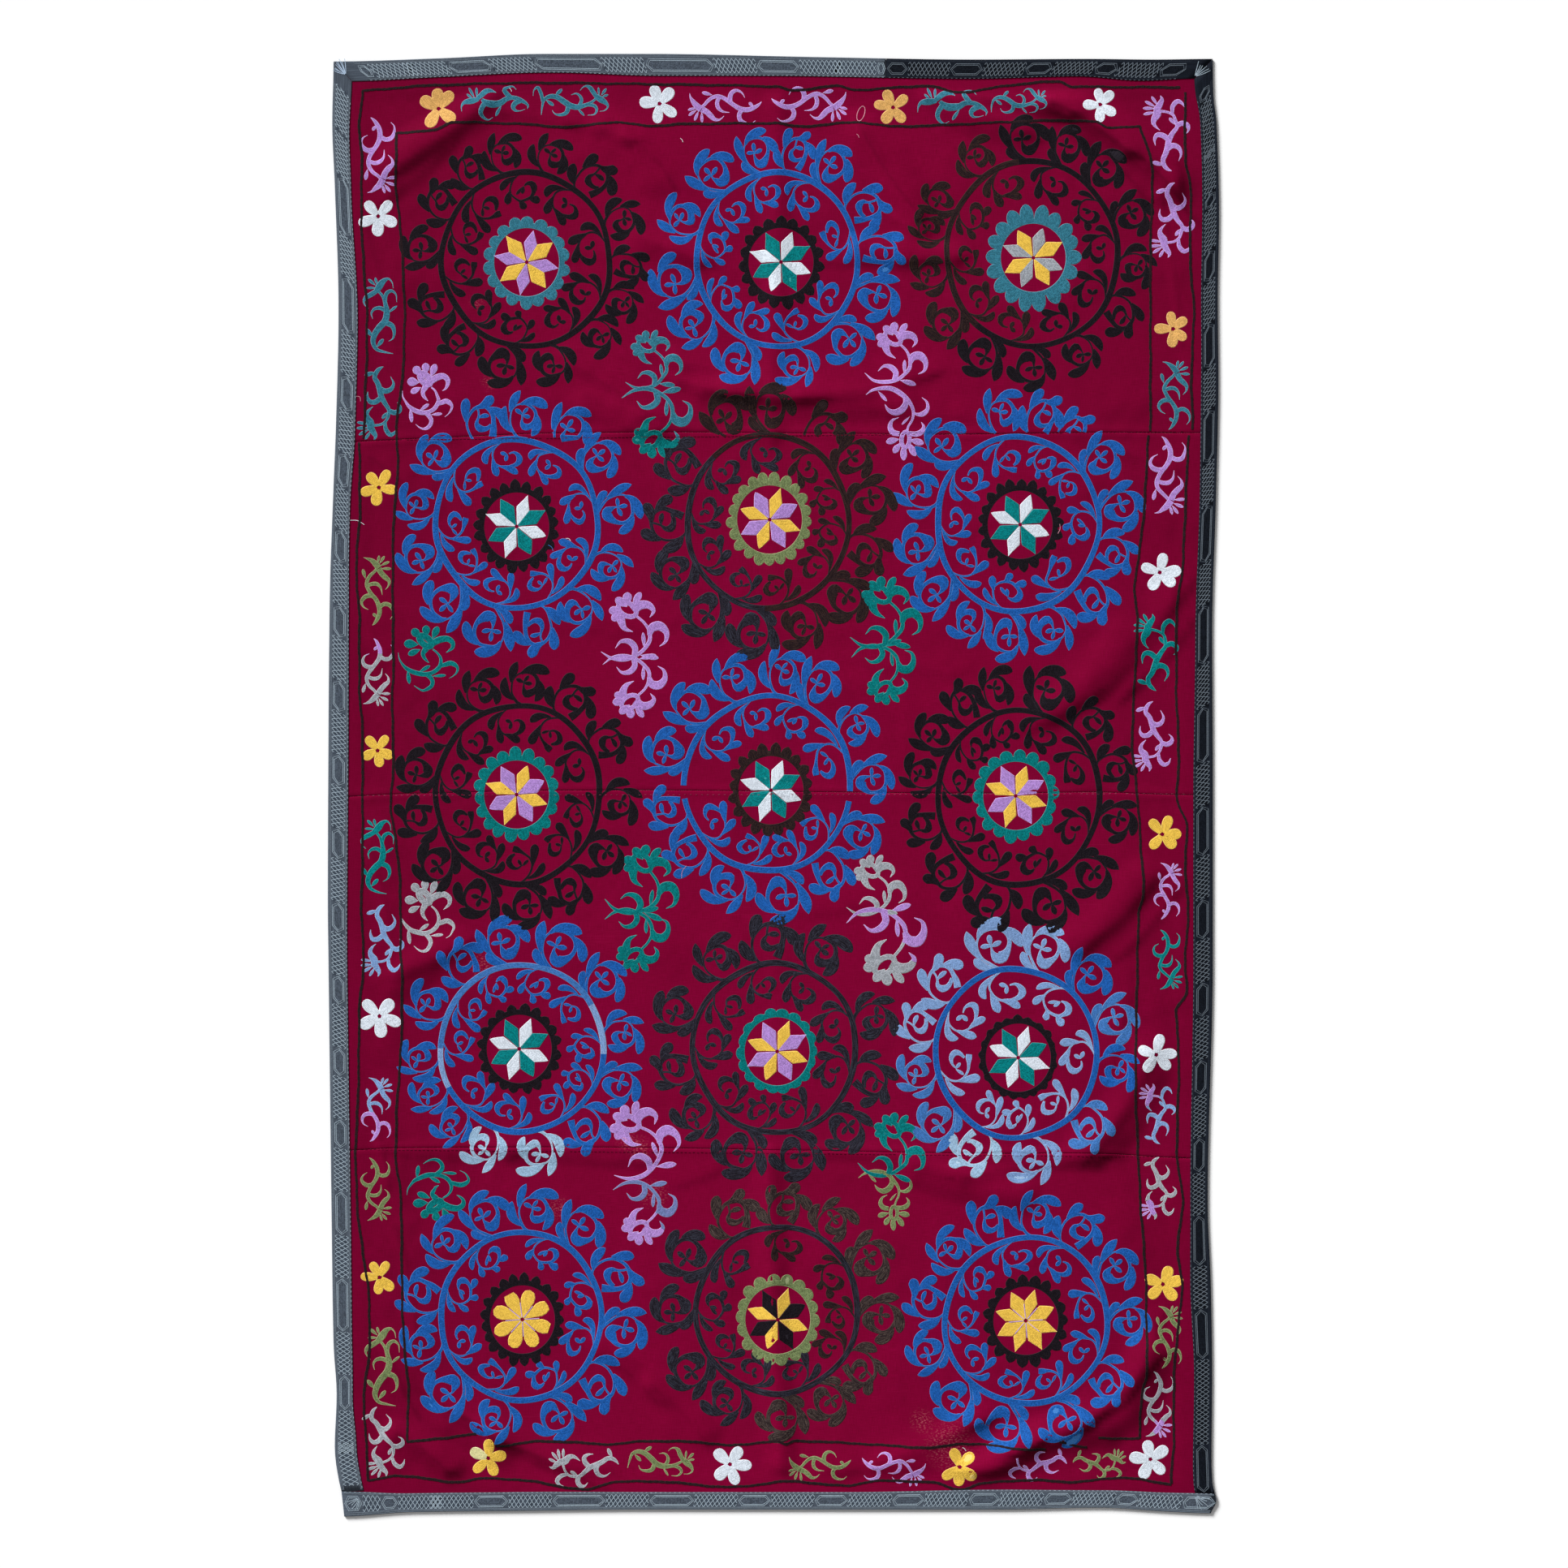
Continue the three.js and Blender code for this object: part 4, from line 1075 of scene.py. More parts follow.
INNER_CURLS = (
    {"foot": -1.66, "head": 2.0,
     "bands": (((-0.05, -1.72, 0.05), (-0.28, -1.58, 0.08), (-0.69, -1.22, 0.09), (-1.0, -0.66, 0.09),
                (-1.06, -0.04, 0.09), (-0.92, 0.55, 0.1), (-0.53, 0.98, 0.1), (-0.02, 1.12, 0.1),
                (0.52, 1.04, 0.14), (1.05, 0.76, 0.23), (1.32, 0.2, 0.32), (1.13, -0.27, 0.22),
                (0.76, -0.5, 0.12), (0.37, -0.38, 0.06)),),
     "leaves": ((-0.45, -1.5, -1.47, -0.82, -1.64, 0.23, 0.35, 0.68, 0.5),
                (-1.05, -0.1, -1.1, 1.05, -1.06, 1.98, 0.38, 0.65, 0.6),
                (-0.53, 0.98, 0.37, 1.37, 1.27, 1.84, 0.36, 0.72, 0.45),
                (0.2, -0.25, -0.05, -0.4, -0.34, -0.57, 0.2, 0.6, 0.5),
                (0.2, -0.3, 0.12, 0.05, 0.0, 0.46, 0.2, 0.6, 0.5))},
    {"foot": -1.8, "head": 1.9,
     "bands": (((0.0, -1.88, 0.05), (-0.22, -1.76, 0.08), (-0.55, -1.39, 0.09), (-0.9, -0.69, 0.09),
                (-1.02, 0.02, 0.09), (-0.68, 0.64, 0.1), (-0.12, 1.0, 0.12), (0.5, 0.88, 0.14),
                (0.96, 0.48, 0.16), (1.12, 0.0, 0.2), (1.08, -0.55, 0.34), (0.86, -0.88, 0.3),
                (0.5, -0.85, 0.16), (0.24, -0.62, 0.07)),),
     "leaves": ((-0.32, -1.62, -1.16, -1.23, -1.72, -0.45, 0.3, 0.68, 0.5),
                (-0.98, -0.2, -1.3, 0.45, -1.5, 1.1, 0.34, 0.65, 0.5),
                (-0.2, 0.98, 0.15, 1.45, 0.36, 1.88, 0.34, 0.65, 0.5),
                (0.8, 0.65, 1.35, 0.7, 1.84, 0.45, 0.38, 0.72, 0.45),
                (0.2, -0.55, -0.15, -0.1, -0.5, 0.3, 0.16, 0.6, 0.5),
                (0.2, -0.55, 0.15, -0.15, 0.05, 0.25, 0.17, 0.6, 0.5))},
    {"foot": -1.66, "head": 1.62,
     "bands": (((0.15, -1.72, 0.05), (-0.1, -1.56, 0.08), (-0.66, -1.02, 0.09), (-0.94, -0.31, 0.09),
                (-0.82, 0.31, 0.1), (-0.43, 0.74, 0.11), (0.12, 1.0, 0.17), (0.66, 1.1, 0.29),
                (1.02, 1.13, 0.26)),
               ((0.72, 0.7, 0.1), (1.12, 0.34, 0.2), (1.24, -0.1, 0.28), (0.85, -0.5, 0.22),
                (0.38, -0.52, 0.11), (0.0, -0.26, 0.07))),
     "leaves": ((-0.42, -1.42, -1.37, -1.17, -2.0, -0.55, 0.34, 0.7, 0.5),
                (-0.95, -0.42, -1.33, 0.63, -1.66, 1.36, 0.38, 0.68, 0.5),
                (-0.02, -0.28, 0.16, -0.02, 0.34, 0.26, 0.15, 0.6, 0.5),
                (-0.06, -0.28, -0.36, -0.02, -0.68, 0.22, 0.14, 0.6, 0.5))},
)
RING_HALF = 4.9              # half the width of a rosette's ring of vine
STAR_OPEN = (51.6, 54.2)     # half the width and height of the plain ground round a star
SCALLOP_RING_OUT = 4.4       # from the plain ground to the middle of the band that carries the scallops
SCALLOP_RING_HALF = 4.6
RING_ARCS = {"r3c2": ((-170, -12), (-5, 181))}      # where a ring is not whole
OUTER_REACH = 1.045          # how far outer curls go, as a share of the rosette's reach
INNER_GAP = 2.5              # between inner curls and the scalloped ring
# The narrowest and widest a curl may be, as a share of its height.
WIDTHS = {"outer": (0.84, 1.16), "inner": (0.78, 1.14)}
STAR_AT = (3.0, 10, 18, 26, 30, 38, 45)      # distances from a star's middle, before the tip
STAR_HALF = (0.7, 3.9, 7.2, 10.8, 12.0, 7.9, 3.9, 0.3)      # half widths there and at the tip
STAR_REACH = 51
# A star with rounder points: its reach and half widths.
ROUND_STARS = {"r5c1": (47, (0.7, 3.6, 6.9, 10.0, 11.6, 11.6, 8.4, 1.2))}


class Rosette:
    """A ring of vine with curls on both sides, round a scalloped ring and a star."""

    def __init__(self, row):
        self.row = row
        self.wobble = [(k, random.uniform(0.3, 1.1), random.uniform(0, 2 * math.pi)) for k in (2, 3, 5, 7)]

    def ellipse(self, wide, tall, bearing):
        return wide * tall / np.hypot(tall * np.cos(bearing), wide * np.sin(bearing))

    def ring(self, bearing):
        """The ring's radius at a bearing in radians."""
        r = self.ellipse(self.row["wide"], self.row["tall"], bearing)
        for k, size, phase in self.wobble:
            r = r + size * np.sin(k * bearing + phase)
        return r

    def colour(self, part, degrees):
        for change in CHANGES:
            if (change["name"] == self.row["name"] and change["part"] in (part, "all")
                    and change["low"] <= degrees <= change["high"]):
                return change["colour"]
        return self.row["vine"]

    def polar(self, bearing, radius):
        return self.row["x"] + radius * np.cos(bearing), self.row["y"] + radius * np.sin(bearing)

    def curl(self, work, degrees, side, gap):
        """One curl with its leaves, outside the ring or inside it."""
        row = self.row
        outer = side == "outer"
        colour = self.colour(side, degrees)
        centre = math.radians(degrees)
        shape = (OUTER_CURLS if outer else INNER_CURLS)[random.choice(3, p=(0.45, 0.25, 0.3))]
        ring = float(self.ring(centre))
        if outer:
            room = OUTER_REACH * self.ellipse(row["reach_x"], row["reach_y"], centre) - ring - RING_HALF
        else:
            room = ring - RING_HALF - self.ellipse(row["rim_x"], row["rim_y"], centre) - INNER_GAP
        tall = room * random.uniform(0.94, 1.02) / (shape["head"] - shape["foot"])
        middle = ring + (RING_HALF + 2 * tall) * (1 if outer else -1.25)
        wide = 0.25 * math.radians(gap) * middle
        narrowest, widest = WIDTHS[side]
        wide = float(np.clip(wide, narrowest * tall, widest * tall))
        size = (wide + tall) / 2
        cut = outer and degrees in CUT.get(row["name"], ())
        dark = 1.1 if colour in ("black", "brown", "navy", "heather") else 1.0
        turned = -1 if degrees in TURNED.get(row["name"], ()) and not outer else 1
        tilt = math.radians(random.uniform(-7, 7))
        away = 1 if outer else -1

        def put(x, y):
            """From the curl's own frame to the cover."""
            x, y = np.asarray(x, float), np.asarray(y, float)
            far = tilt * np.clip((y - shape["foot"]) / 2, 0, 1)
            x, y = x * np.cos(far) - y * np.sin(far), x * np.sin(far) + y * np.cos(far)
            bearing = centre - turned * x * wide / middle
            stand = RING_HALF - 0.5 + (y - shape["foot"]) * tall
            return self.polar(bearing, self.ring(bearing) + away * stand)

        for band in shape["bands"]:
            rows = np.array(band)
            rows[2:, :2] += random.uniform(-0.035, 0.035, (len(rows) - 2, 2))
            line = curve_through(rows, 3.4 / size)
            x, y = put(line[:, 0], line[:, 1])
            rows = ribbon(x, y, np.maximum(line[:, 2] * size * dark * random.uniform(1.02, 1.16), 0.9))
            if cut:
                rows = rows[y > seam_height(SEAMS[-1], x) + 2]
            if len(rows) > 1:
                work.stroke(rows, colour)
        for x1, y1, x2, y2, x3, y3, half, belly, blunt in shape["leaves"]:
            drift = random.uniform(-0.08, 0.08, 2) * (half > 0.25)
            x, y = put([x1, x2 + drift[0] / 2, x3 + drift[0]], [y1, y2 + drift[1] / 2, y3 + drift[1]])
            p = np.stack([x, y], 1)
            if cut and y[:2].min() < seam_height(SEAMS[-1], x[0]) + 2:
                continue
            half = half * size * dark * random.uniform(1.04, 1.18)
            work.leaf(p[0], p[1], p[2], half, colour, belly, 0.25, blunt + 0.15)

    def vine(self):
        """The ring of vine and all its curls."""
        work = Stitching(f"vine_{self.row['name']}")
        name = self.row["name"]
        changes = [c for c in CHANGES if c["name"] == name and c["part"] in ("ring", "all")]
        arcs = RING_ARCS.get(name, ((-180, 180),))
        for low, high in arcs:
            turns = {c[end] for c in changes for end in ("low", "high") if low < c[end] < high}
            cuts = [low, *sorted(turns), high]
            whole = len(cuts) == 2 and name not in RING_ARCS
            for start, stop in zip(cuts[:-1], cuts[1:]):
                steps = int(round((stop - start) / 2.0))
                degrees = np.linspace(start, stop, steps + 1)[: steps if whole else steps + 1]
                bearing = np.radians(degrees)
                x, y = self.polar(bearing, self.ring(bearing))
                half = RING_HALF + 0.35 * np.sin(3 * bearing + self.wobble[0][2])
                middle = ((start + stop) / 2 + 180) % 360 - 180
                work.stroke(ribbon(x, y, half), self.colour("ring", middle), closed=whole)
        for side in ("outer", "inner"):
            angles = self.row[side]
            for k, degrees in enumerate(angles):
                before = (angles[k - 1] - degrees) % 360
                after = (degrees - angles[(k + 1) % len(angles)]) % 360
                self.curl(work, degrees, side, min((before + after) / 2, 1.12 * min(before, after)))
        return work.piece()

    def scallops(self):
        """About twenty lobes round a band."""
        row = self.row
        work = Stitching(f"scallops_{row['name']}")
        centre = np.array([row["star_x"], row["star_y"]], float)
        lobes = int(random.integers(18, 22))
        first = random.uniform(0, 2 * math.pi / lobes)
        ring = oval(*centre, STAR_OPEN[0] + SCALLOP_RING_OUT, STAR_OPEN[1] + SCALLOP_RING_OUT, 0, 4.0)
        work.stroke(ribbon(*ring, SCALLOP_RING_HALF), row["scallop"], closed=True)
        for k in range(lobes):
            bearing = first + 2 * math.pi * k / lobes + random.uniform(-0.03, 0.03)
            way = heading(bearing)
            start = centre + way * np.array([STAR_OPEN[0] + 3, STAR_OPEN[1] + 3])
            tip = centre + way * np.array([row["rim_x"], row["rim_y"]]) * random.uniform(0.97, 1.03)
            half = math.pi * (row["rim_x"] + row["rim_y"]) / 2 / lobes * random.uniform(0.8, 0.9)
            sharp = row["scallop"] in ("black", "brown")
            work.leaf(start, (start + tip) / 2, tip, half * (0.92 if sharp else 1), row["scallop"], belly=0.4,
                      root=0.95, blunt=0.85 if sharp else 0.58)
        return work.piece()

    def star(self):
        row = self.row
        work = Stitching(f"star_{row['name']}")
        centre = np.array([row["star_x"], row["star_y"]], float)
        plain = row["tip_a"] == row["tip_b"]
        for k in range(8):
            colour = row["tip_b"] if k % 2 else row["tip_a"]
            lag = 3 if k % 2 and not plain else 0
            degrees = 28 + 45 * k - lag + row["turn"] + random.uniform(-2.5, 2.5)
            way = heading(math.radians(degrees))
            usual = STAR_REACH, np.array(STAR_HALF) * (0.92 if k % 2 else 1.06)
            reach, half = ROUND_STARS.get(row["name"], usual)
            at = np.array([*STAR_AT, reach * random.uniform(0.95, 1.05)])
            tip = ribbon(*(centre + way * at[:, None]).T, np.array(half) * (0.97 if plain else 1.0))
            work.stroke(tip, colour, rise=0.45)
            if plain:
                seam = centre + heading(math.radians(degrees + 22.5)) * np.array([4.0, 15, 27])[:, None]
                work.stroke(ribbon(*seam.T, 0.55), "lilac", rise=0.5, lift=0.35)
        return work.piece()


rosettes = [Rosette(row) for row in ROSETTES]
vines = [rosette.vine() for rosette in rosettes]
centres = [piece for rosette in rosettes for piece in (rosette.scallops(), rosette.star())]

# sprigs and flowers

# A sprig has its flower at the origin, in millimetres. A band is rows of (x, y, half width), and a petal is
# (x1, y1, x2, y2, half width). tail: where its far end comes. The border's four kinds run to the right. All
# were read from single sprigs in the photo.
FINGERS_UP = {
    "tail": (87, -12),
    "bands": (
        ((13.2, -2.5, 2.5), (18.9, -7.4, 4.6), (27.1, -9.9, 6.0), (35.4, -9.5, 5.8), (43.6, -7.4, 5.0),
         (51.8, -1.6, 4.2), (60, 0.8, 3.6), (68.3, 0, 3.6), (76.5, -3.3, 3.6), (83, -6.9, 2.6),
         (87.2, -11.8, 1.5), (85.7, -16.4, 0.2)),
        ((17.3, -9.9, 4.5), (13.2, -16.4, 4.0), (12, -24.7, 3.6), (16.4, -32, 2.4), (23.8, -35, 1.0),
         (30.8, -30.9, 0.2)),
        ((6, -1.5, 3.5), (12, 4.9, 4.6), (18.9, 10.7, 4.6), (26.3, 11.8, 3.3), (31.2, 10.9, 1.8),
         (35.7, 8.9, 0.2)),
        ((8, -2.0, 3.4), (-2.5, -4.6, 5.2), (-9.9, -5.8, 4.8), (-16, -7.9, 3.0), (-19.2, -14.8, 1.2),
         (-18.9, -22.4, 0.2)),
        ((59.2, 1.6, 3.6), (51.8, 8.6, 4.0), (48.8, 13.5, 3.2), (55.1, 17.8, 2.0), (62, 18.9, 1.2),
         (67.9, 14.1, 0.2)),
        ((75.7, -3.6, 3.5), (66.9, -7.9, 4.4), (63.3, -14, 3.8), (66.3, -19.7, 2.2), (73.2, -20, 0.8),
         (82.4, -17, 0.2))),
    "petals": ((1.6, -0.8, -8.2, 16.4, 2.3), (4.9, 0, 4.1, 16.8, 2.2), (-0.8, -2.5, -11.5, 6.3, 2.1),
               (44.9, -10.5, 35.4, -28.9, 2.7))}
FINGERS_BACK = {
    "tail": (93.3, -22),
    "bands": (
        ((4.5, -1.5, 1.8), (12.3, -8.2, 2.2), (22.2, -12.3, 3), (35.4, -15.1, 4.6), (46.9, -13.2, 4.9),
         (56.7, -5.8, 4.9), (68.3, 0.8, 4.3), (79.8, 2, 3.6), (88.3, -2.5, 2.6), (92, -14, 1.6),
         (93.3, -27.1, 0.3)),
        ((5, 1.6, 4.2), (-4.1, -4.1, 5.2), (-10.7, -9, 3.6), (-14, -15.1, 1.6), (-9.4, -20.6, 0.8),
         (-0.8, -22.7, 0.2)),
        ((4.0, 0.5, 3.4), (10.7, 9.9, 3.8), (14.8, 16.1, 3.3), (20.6, 18.4, 1.6), (26.3, 16.4, 0.8),
         (30.4, 11.2, 0.2)),
        ((29.6, -16.1, 2.4), (17.3, -12.3, 2.3), (7.4, -14, 3.0), (3.3, -19.7, 2.3), (7.4, -26.3, 1.3),
         (18.9, -28.6, 0.2)),
        ((32.1, -13.3, 3.0), (28.5, -4.1, 2.9), (31.3, 3.3, 2.1), (37, 6.6, 1.3), (44.7, 4.6, 0.2)),
        ((49.3, -14.4, 4.0), (53.1, -23.8, 3.6), (63.3, -27.6, 2.3), (71.9, -25.5, 1.0), (75.7, -19.7, 0.2)),
        ((90.3, -5.6, 2.6), (94.2, 9.9, 3.0), (98.7, 17.3, 2.6), (103.6, 14, 1.2), (106, 4, 0.2))),
    "petals": ((0, 1.3, 0.8, 16.1, 1.9), (-3.3, 2.9, -12, 14, 2.4), (-3.8, 0.5, -14.8, 4.1, 2.1),
               (35.4, -16.7, 24.2, -29.3, 2.0), (71.2, 2.9, 59.2, 14, 3.2), (85.5, -2.8, 72.9, -12.3, 3.0))}
FINGERS_DOWN = {
    "tail": (98.5, 9.5),
    "bands": (
        ((3, 1.5, 2.3), (7.5, 4.9, 2.5), (13.5, 11.5, 2.8), (21.7, 17.3, 3.1), (29.9, 18.9, 3.3),
         (38.2, 15.6, 3.3), (46.4, 10.7, 3.6), (54.6, 4.1, 3.6), (64.5, -1.6, 4), (76, -3, 4),
         (87.5, 0.8, 3.3), (95.7, 6.3, 1.7), (98.5, 9.5, 0.2)),
        ((2, -2, 5.2), (-5, 3.5, 5.2), (-11.5, 11, 3.4), (-14.6, 17.6, 1.6), (-16, 23.5, 0.2)),
        ((3, -2, 5.2), (11.8, -6.6, 4.6), (18.4, -13.2, 4.4), (24.2, -19, 3.0), (31.6, -18.4, 1.5),
         (38.5, -12.8, 0.2)),
        ((30.8, 15.6, 3), (28.3, 9, 3.3), (29.1, 0.8, 3.3), (34.9, -4.9, 2), (47.2, -7.4, 0.2)),
        ((48.8, 9, 3.6), (48.4, 17.3, 3.9), (52.1, 24.3, 3.6), (59.5, 27.5, 2.5), (67.8, 23.8, 1.3),
         (71.9, 16.1, 0.2)),
        ((67.8, -3.3, 3.3), (63.2, -10.7, 3.6), (64.8, -18.9, 3.6), (72.7, -24.3, 2.3), (82.6, -24.7, 1),
         (88.7, -20.7, 0.2))),
    "petals": ((3, -6, 3.5, -23, 2.6), (-2, -5, -8.5, -20, 2.6), (-5, -3, -18, -12, 2.5),
               (-5, 0, -19, -3, 2.4), (20, 20.6, 3.6, 25, 3.2), (85.9, 1.5, 78.5, 8.4, 2.8))}
WINDING = {
    "tail": (91, -15),
    "bands": (
        ((2, -6, 2.0), (5, -19, 1.9), (10, -25, 2.1), (18, -28, 2.4), (26, -29, 2.8), (36, -22, 3.6),
         (45, -16, 4.4), (55, -13, 4.4), (66, -9, 4.0), (74, -4, 3.6), (82, -5, 3.4), (88, -10, 2.4),
         (91, -15, 0.3)),
        ((8, -24, 2.2), (-3, -26, 3.4), (-10, -34, 3.4), (-6, -40, 2), (1, -43, 0.3)),
        ((26, -28, 3.4), (23, -37, 4), (28, -45, 3.5), (34, -45, 1.6), (39, -40, 0.2)),
        ((44, -15, 4), (37, -6, 4), (37, 1, 3.5), (43, 5, 2.2), (52, 5, 0.2)),
        ((58, -12, 4), (54, -20, 4.2), (58, -29, 3.4), (66, -32, 2), (77, -27, 0.2)),
        ((-4, -3, 5), (6, -2, 6), (13, 3, 4.6), (19, 4, 3.2), (25, 1, 1.8), (30, -4, 0.2)),
        ((0, -2, 5), (-8, -7, 4.4), (-15, -11, 2.6), (-20, -9, 0.4))),
    "petals": ((24, -27, 13, -19, 2.8), (82, -5, 76, 12, 3.4), (-2, 0, -4, 18, 2.6), (-4, -1, -14, 14, 2.5),
               (3, 0, 5, 18, 2.5), (-6, -4, -20, 4, 2.4))}
BORDER_KINDS = {"up": FINGERS_UP, "back": FINGERS_BACK, "down": FINGERS_DOWN, "winding": WINDING,
    "side": {**FINGERS_BACK, "bands": FINGERS_BACK["bands"][:-1]},
    "headless": {**WINDING, "bands": WINDING["bands"][:-2], "petals": WINDING["petals"][:2]}}

HALF_TAIL = (-35.2, -43.6)
HALF_BANDS = (
    ((9.4, -8.6, 1.5), (17.4, -17.6, 1.6), (21.4, -27.6, 2.0), (20.4, -37.6, 2.4), (14.4, -45.6, 2.2),
     (6, -51.6, 2.2), (-9.6, -55.4, 2.6), (-23.6, -52.6, 1.8), (-35.2, -43.6, 0.3)),
    ((21, -32, 2.4), (25, -23.6, 5.0), (33, -22, 5.4), (40.4, -31, 3.4), (38.8, -41, 1.8), (31, -45.4, 0.3)),
    ((1.4, -53, 3.0), (3.4, -44, 3.6), (-2.6, -36.4, 3.4), (-11.6, -35.4, 1.8), (-18.6, -41.4, 0.3)),
    ((6, -2, 5.0), (16, 3.5, 5.2), (25, 1.5, 4.2), (28.6, -5, 2.4), (24, -11.8, 0.3)),
    ((-9, -7, 5.6), (-8.5, -13, 4.6), (-5.5, -20, 3.0), (3.2, -25.6, 0.3)),
)
HALF_PETALS = ((0, 3, -11.6, 14.4, 5.0), (0, 4, 2.6, 19.4, 5.4), (6, 3, 17.4, 17.4, 4.2),
               (-6, 0, -21, 1.0, 5.2), (-6, -3, -19, -9.6, 5.0), (13.8, -46, 14.4, -27.6, 2.4),
               (8, -52.6, 28.4, -58.4, 3.4))
HALF_EYE = (0, 0, 11.0, 7.2, -35, 2.9)       # middle x, middle y, half length, half width, tilt, stroke
# Two of the half sprigs let their flower hang straight down instead.
HANGING_TAIL = (-61, 71)
HANGING_BANDS = (
    ((-61, 71, 0.3), (-52, 77, 1.8), (-38, 81, 3.0), (-20, 80, 4.0), (-4, 72, 4.2), (7, 60, 3.4),
     (14, 46, 2.6), (13, 33, 2.0), (6, 20, 1.8), (4, 12, 2.0)),
    ((0, 68, 2.4), (2, 58, 4.6), (-4, 48, 5.6), (-15, 43, 5.0), (-25, 47, 3.0), (-31, 56, 0.3)),
    ((13, 44, 1.4), (20, 40, 2.4), (29, 40, 4.2), (37, 48, 3.2), (36, 60, 1.8), (28, 67, 0.3)),
    ((-8, 9, 4.0), (-18, 12, 4.8), (-22, 20, 4.2), (-19, 30, 2.2), (-9, 35, 0.3)),
    ((8, 10, 3.6), (19, 9, 4.4), (28, 13, 4.4), (31, 20, 2.6), (27, 28, 0.3)),
)
HANGING_PETALS = ((-8, 1, -29, -4, 5.4), (-6, -5, -17, -21, 5.4), (-1, -6, -1, -33, 5.6),
                  (6, -4, 18, -26, 5.6), (8, 0, 31, -6, 5.6), (-42, 77, -28, 61, 2.8), (9, 37, -4, 24, 2.0))
HANGING_EYE = (2, 0, 12.5, 6.4, 86, 3.6)

# The single sprigs by the left line curl back on themselves. They are laid at their own place.
NEAR_BANDS = (
    ((0, -0.8, 1.3), (5.5, -5.9, 1.5), (9.8, -14, 2.2), (11.1, -21, 2.8), (9.2, -28, 3.2), (4.7, -34.4, 3.3),
     (-2.3, -38.9, 3.2), (-10.2, -40.8, 3.6), (-19.5, -39.8, 3.8), (-28.9, -35.9, 3.5), (-36, -30.5, 2.7),
     (-41.4, -23.4, 1.6), (-45, -15.6, 1.0), (-45.9, -6.1, 0.2)),
    ((10.2, -27.5, 2.8), (16.4, -25, 3.5), (22.7, -23, 3.9), (28.9, -25.4, 3.5), (32.4, -30.9, 2.2),
     (30.9, -38.3, 1.4), (26.6, -44.1, 0.7), (21.3, -47.8, 0.2)),
    ((-9.4, -40.8, 3.2), (-3.1, -46.9, 3.5), (-0.4, -53.1, 3.3), (-2, -60.2, 3.1), (-7, -65.6, 2.7),
     (-13.3, -67.2, 1.7), (-19.5, -64.1, 1.0), (-25, -59.4, 0.2)),
    ((-1, 9, 5.2), (10.2, 15.6, 5.2), (19.5, 16.4, 4.6), (26.2, 9.4, 3.8), (25.4, 1.6, 2.6), (21, -3.5, 1.4),
     (17.4, -6.1, 0.2)),
    ((-9, 0.5, 5.0), (-13.3, -8.6, 3.4), (-11.7, -14.8, 2.7), (-8.6, -19.5, 1.7), (-5.3, -22.5, 0.2)),
)
NEAR_PETALS = ((-16.4, -0.8, -32.8, -9.4, 4.9), (-19, 7, -38.4, 8.6, 7.0), (-17, 17, -27, 32.4, 6.6),
               (-8.6, 20, -9.2, 38, 6.2), (-1, 16, 7, 36.1, 5.6), (-18.8, -38, -3.8, -27.3, 3.0),
               (-0.8, -44.4, 17.2, -42.8, 2.5), (-33.5, -33.8, -31.1, -56.6, 3.3))
NEAR_EYE = (-9.8, 12.5, 10.8, 5.4, -49, 5.0)
NEAR_SIZE = 1.05             # how much wider its bands are than in the template

# From the flower (x1, y1) to the tail's end (x2, y2). tail: its thread there, where it isn't the flower's.
# change: where the thread changes, in a sprig's own units.
BORDER_SPRIGS = table("x1 y1 x2 y2 kind head tail change",
    (-476, 1092, -390, 1079, "up", "teal"), (-277, 1093, -369, 1070, "back", "teal"),
    (-117, 1076, -19, 1086, "down", "lilac"), (98, 1078, -3, 1091, "down", "lilac"),
    (251, 1090, 339, 1068, "up", "teal"), (422, 1092, 346, 1073, "side", "teal"),
    (607, 1073, 632, 975, "winding", "lilac"), (618, 860, 637, 956, "winding", "lilac"),
    (640, 657, 628, 565, "down", "teal"), (630, 450, 617, 554, "down", "lilac"),
    (592, 250, 608, 150, "winding", "green"), (588, 42, 603, 133, "winding", "lilac"),
    (632, -138, 616, -213, "down", "lilac"), (632, -309, 615, -230, "down", "green"),
    (596, -492, 614, -570, "winding", "lilac", "light", 20),
    (598, -672, 613, -591, "winding", "lilac", "grey", 13), (631, -843, 617, -926, "down", "olive"),
    (613, -1020, 604, -931, "down", "lilac", "grey", 12), (-622, 960, -640, 1061, "down", "lilac"),
    (-629, 790, -610, 686, "side", "teal"), (-643, 570, -620, 665, "winding", "teal"),
    (-629, 347, -637, 254, "down", "olive"), (-630, 143, -635, 233, "down", "grey", "lilac", 72),
    (-632, -70, -620, -172, "side", "green"), (-637, -283, -618, -190, "winding", "light"),
    (-624, -481, -641, -566, "down", "light", "lilac", 46), (-626, -676, -642, -592, "down", "olive"),
    (-626, -878, -606, -986, "side", "olive"), (-628, -1080, -630, -988, "winding", "grey"),
    (-337, -1072, -246, -1079, "winding", "grey"), (-140, -1073, -231, -1080, "side", "olive"),
    (40, -1086, 123, -1072, "down", "olive"), (224, -1095, 141, -1069, "down", "lilac"),
    (385, -1063, 466, -1078, "headless", "lilac"), (545, -1068, 476, -1076, "winding", "olive"))
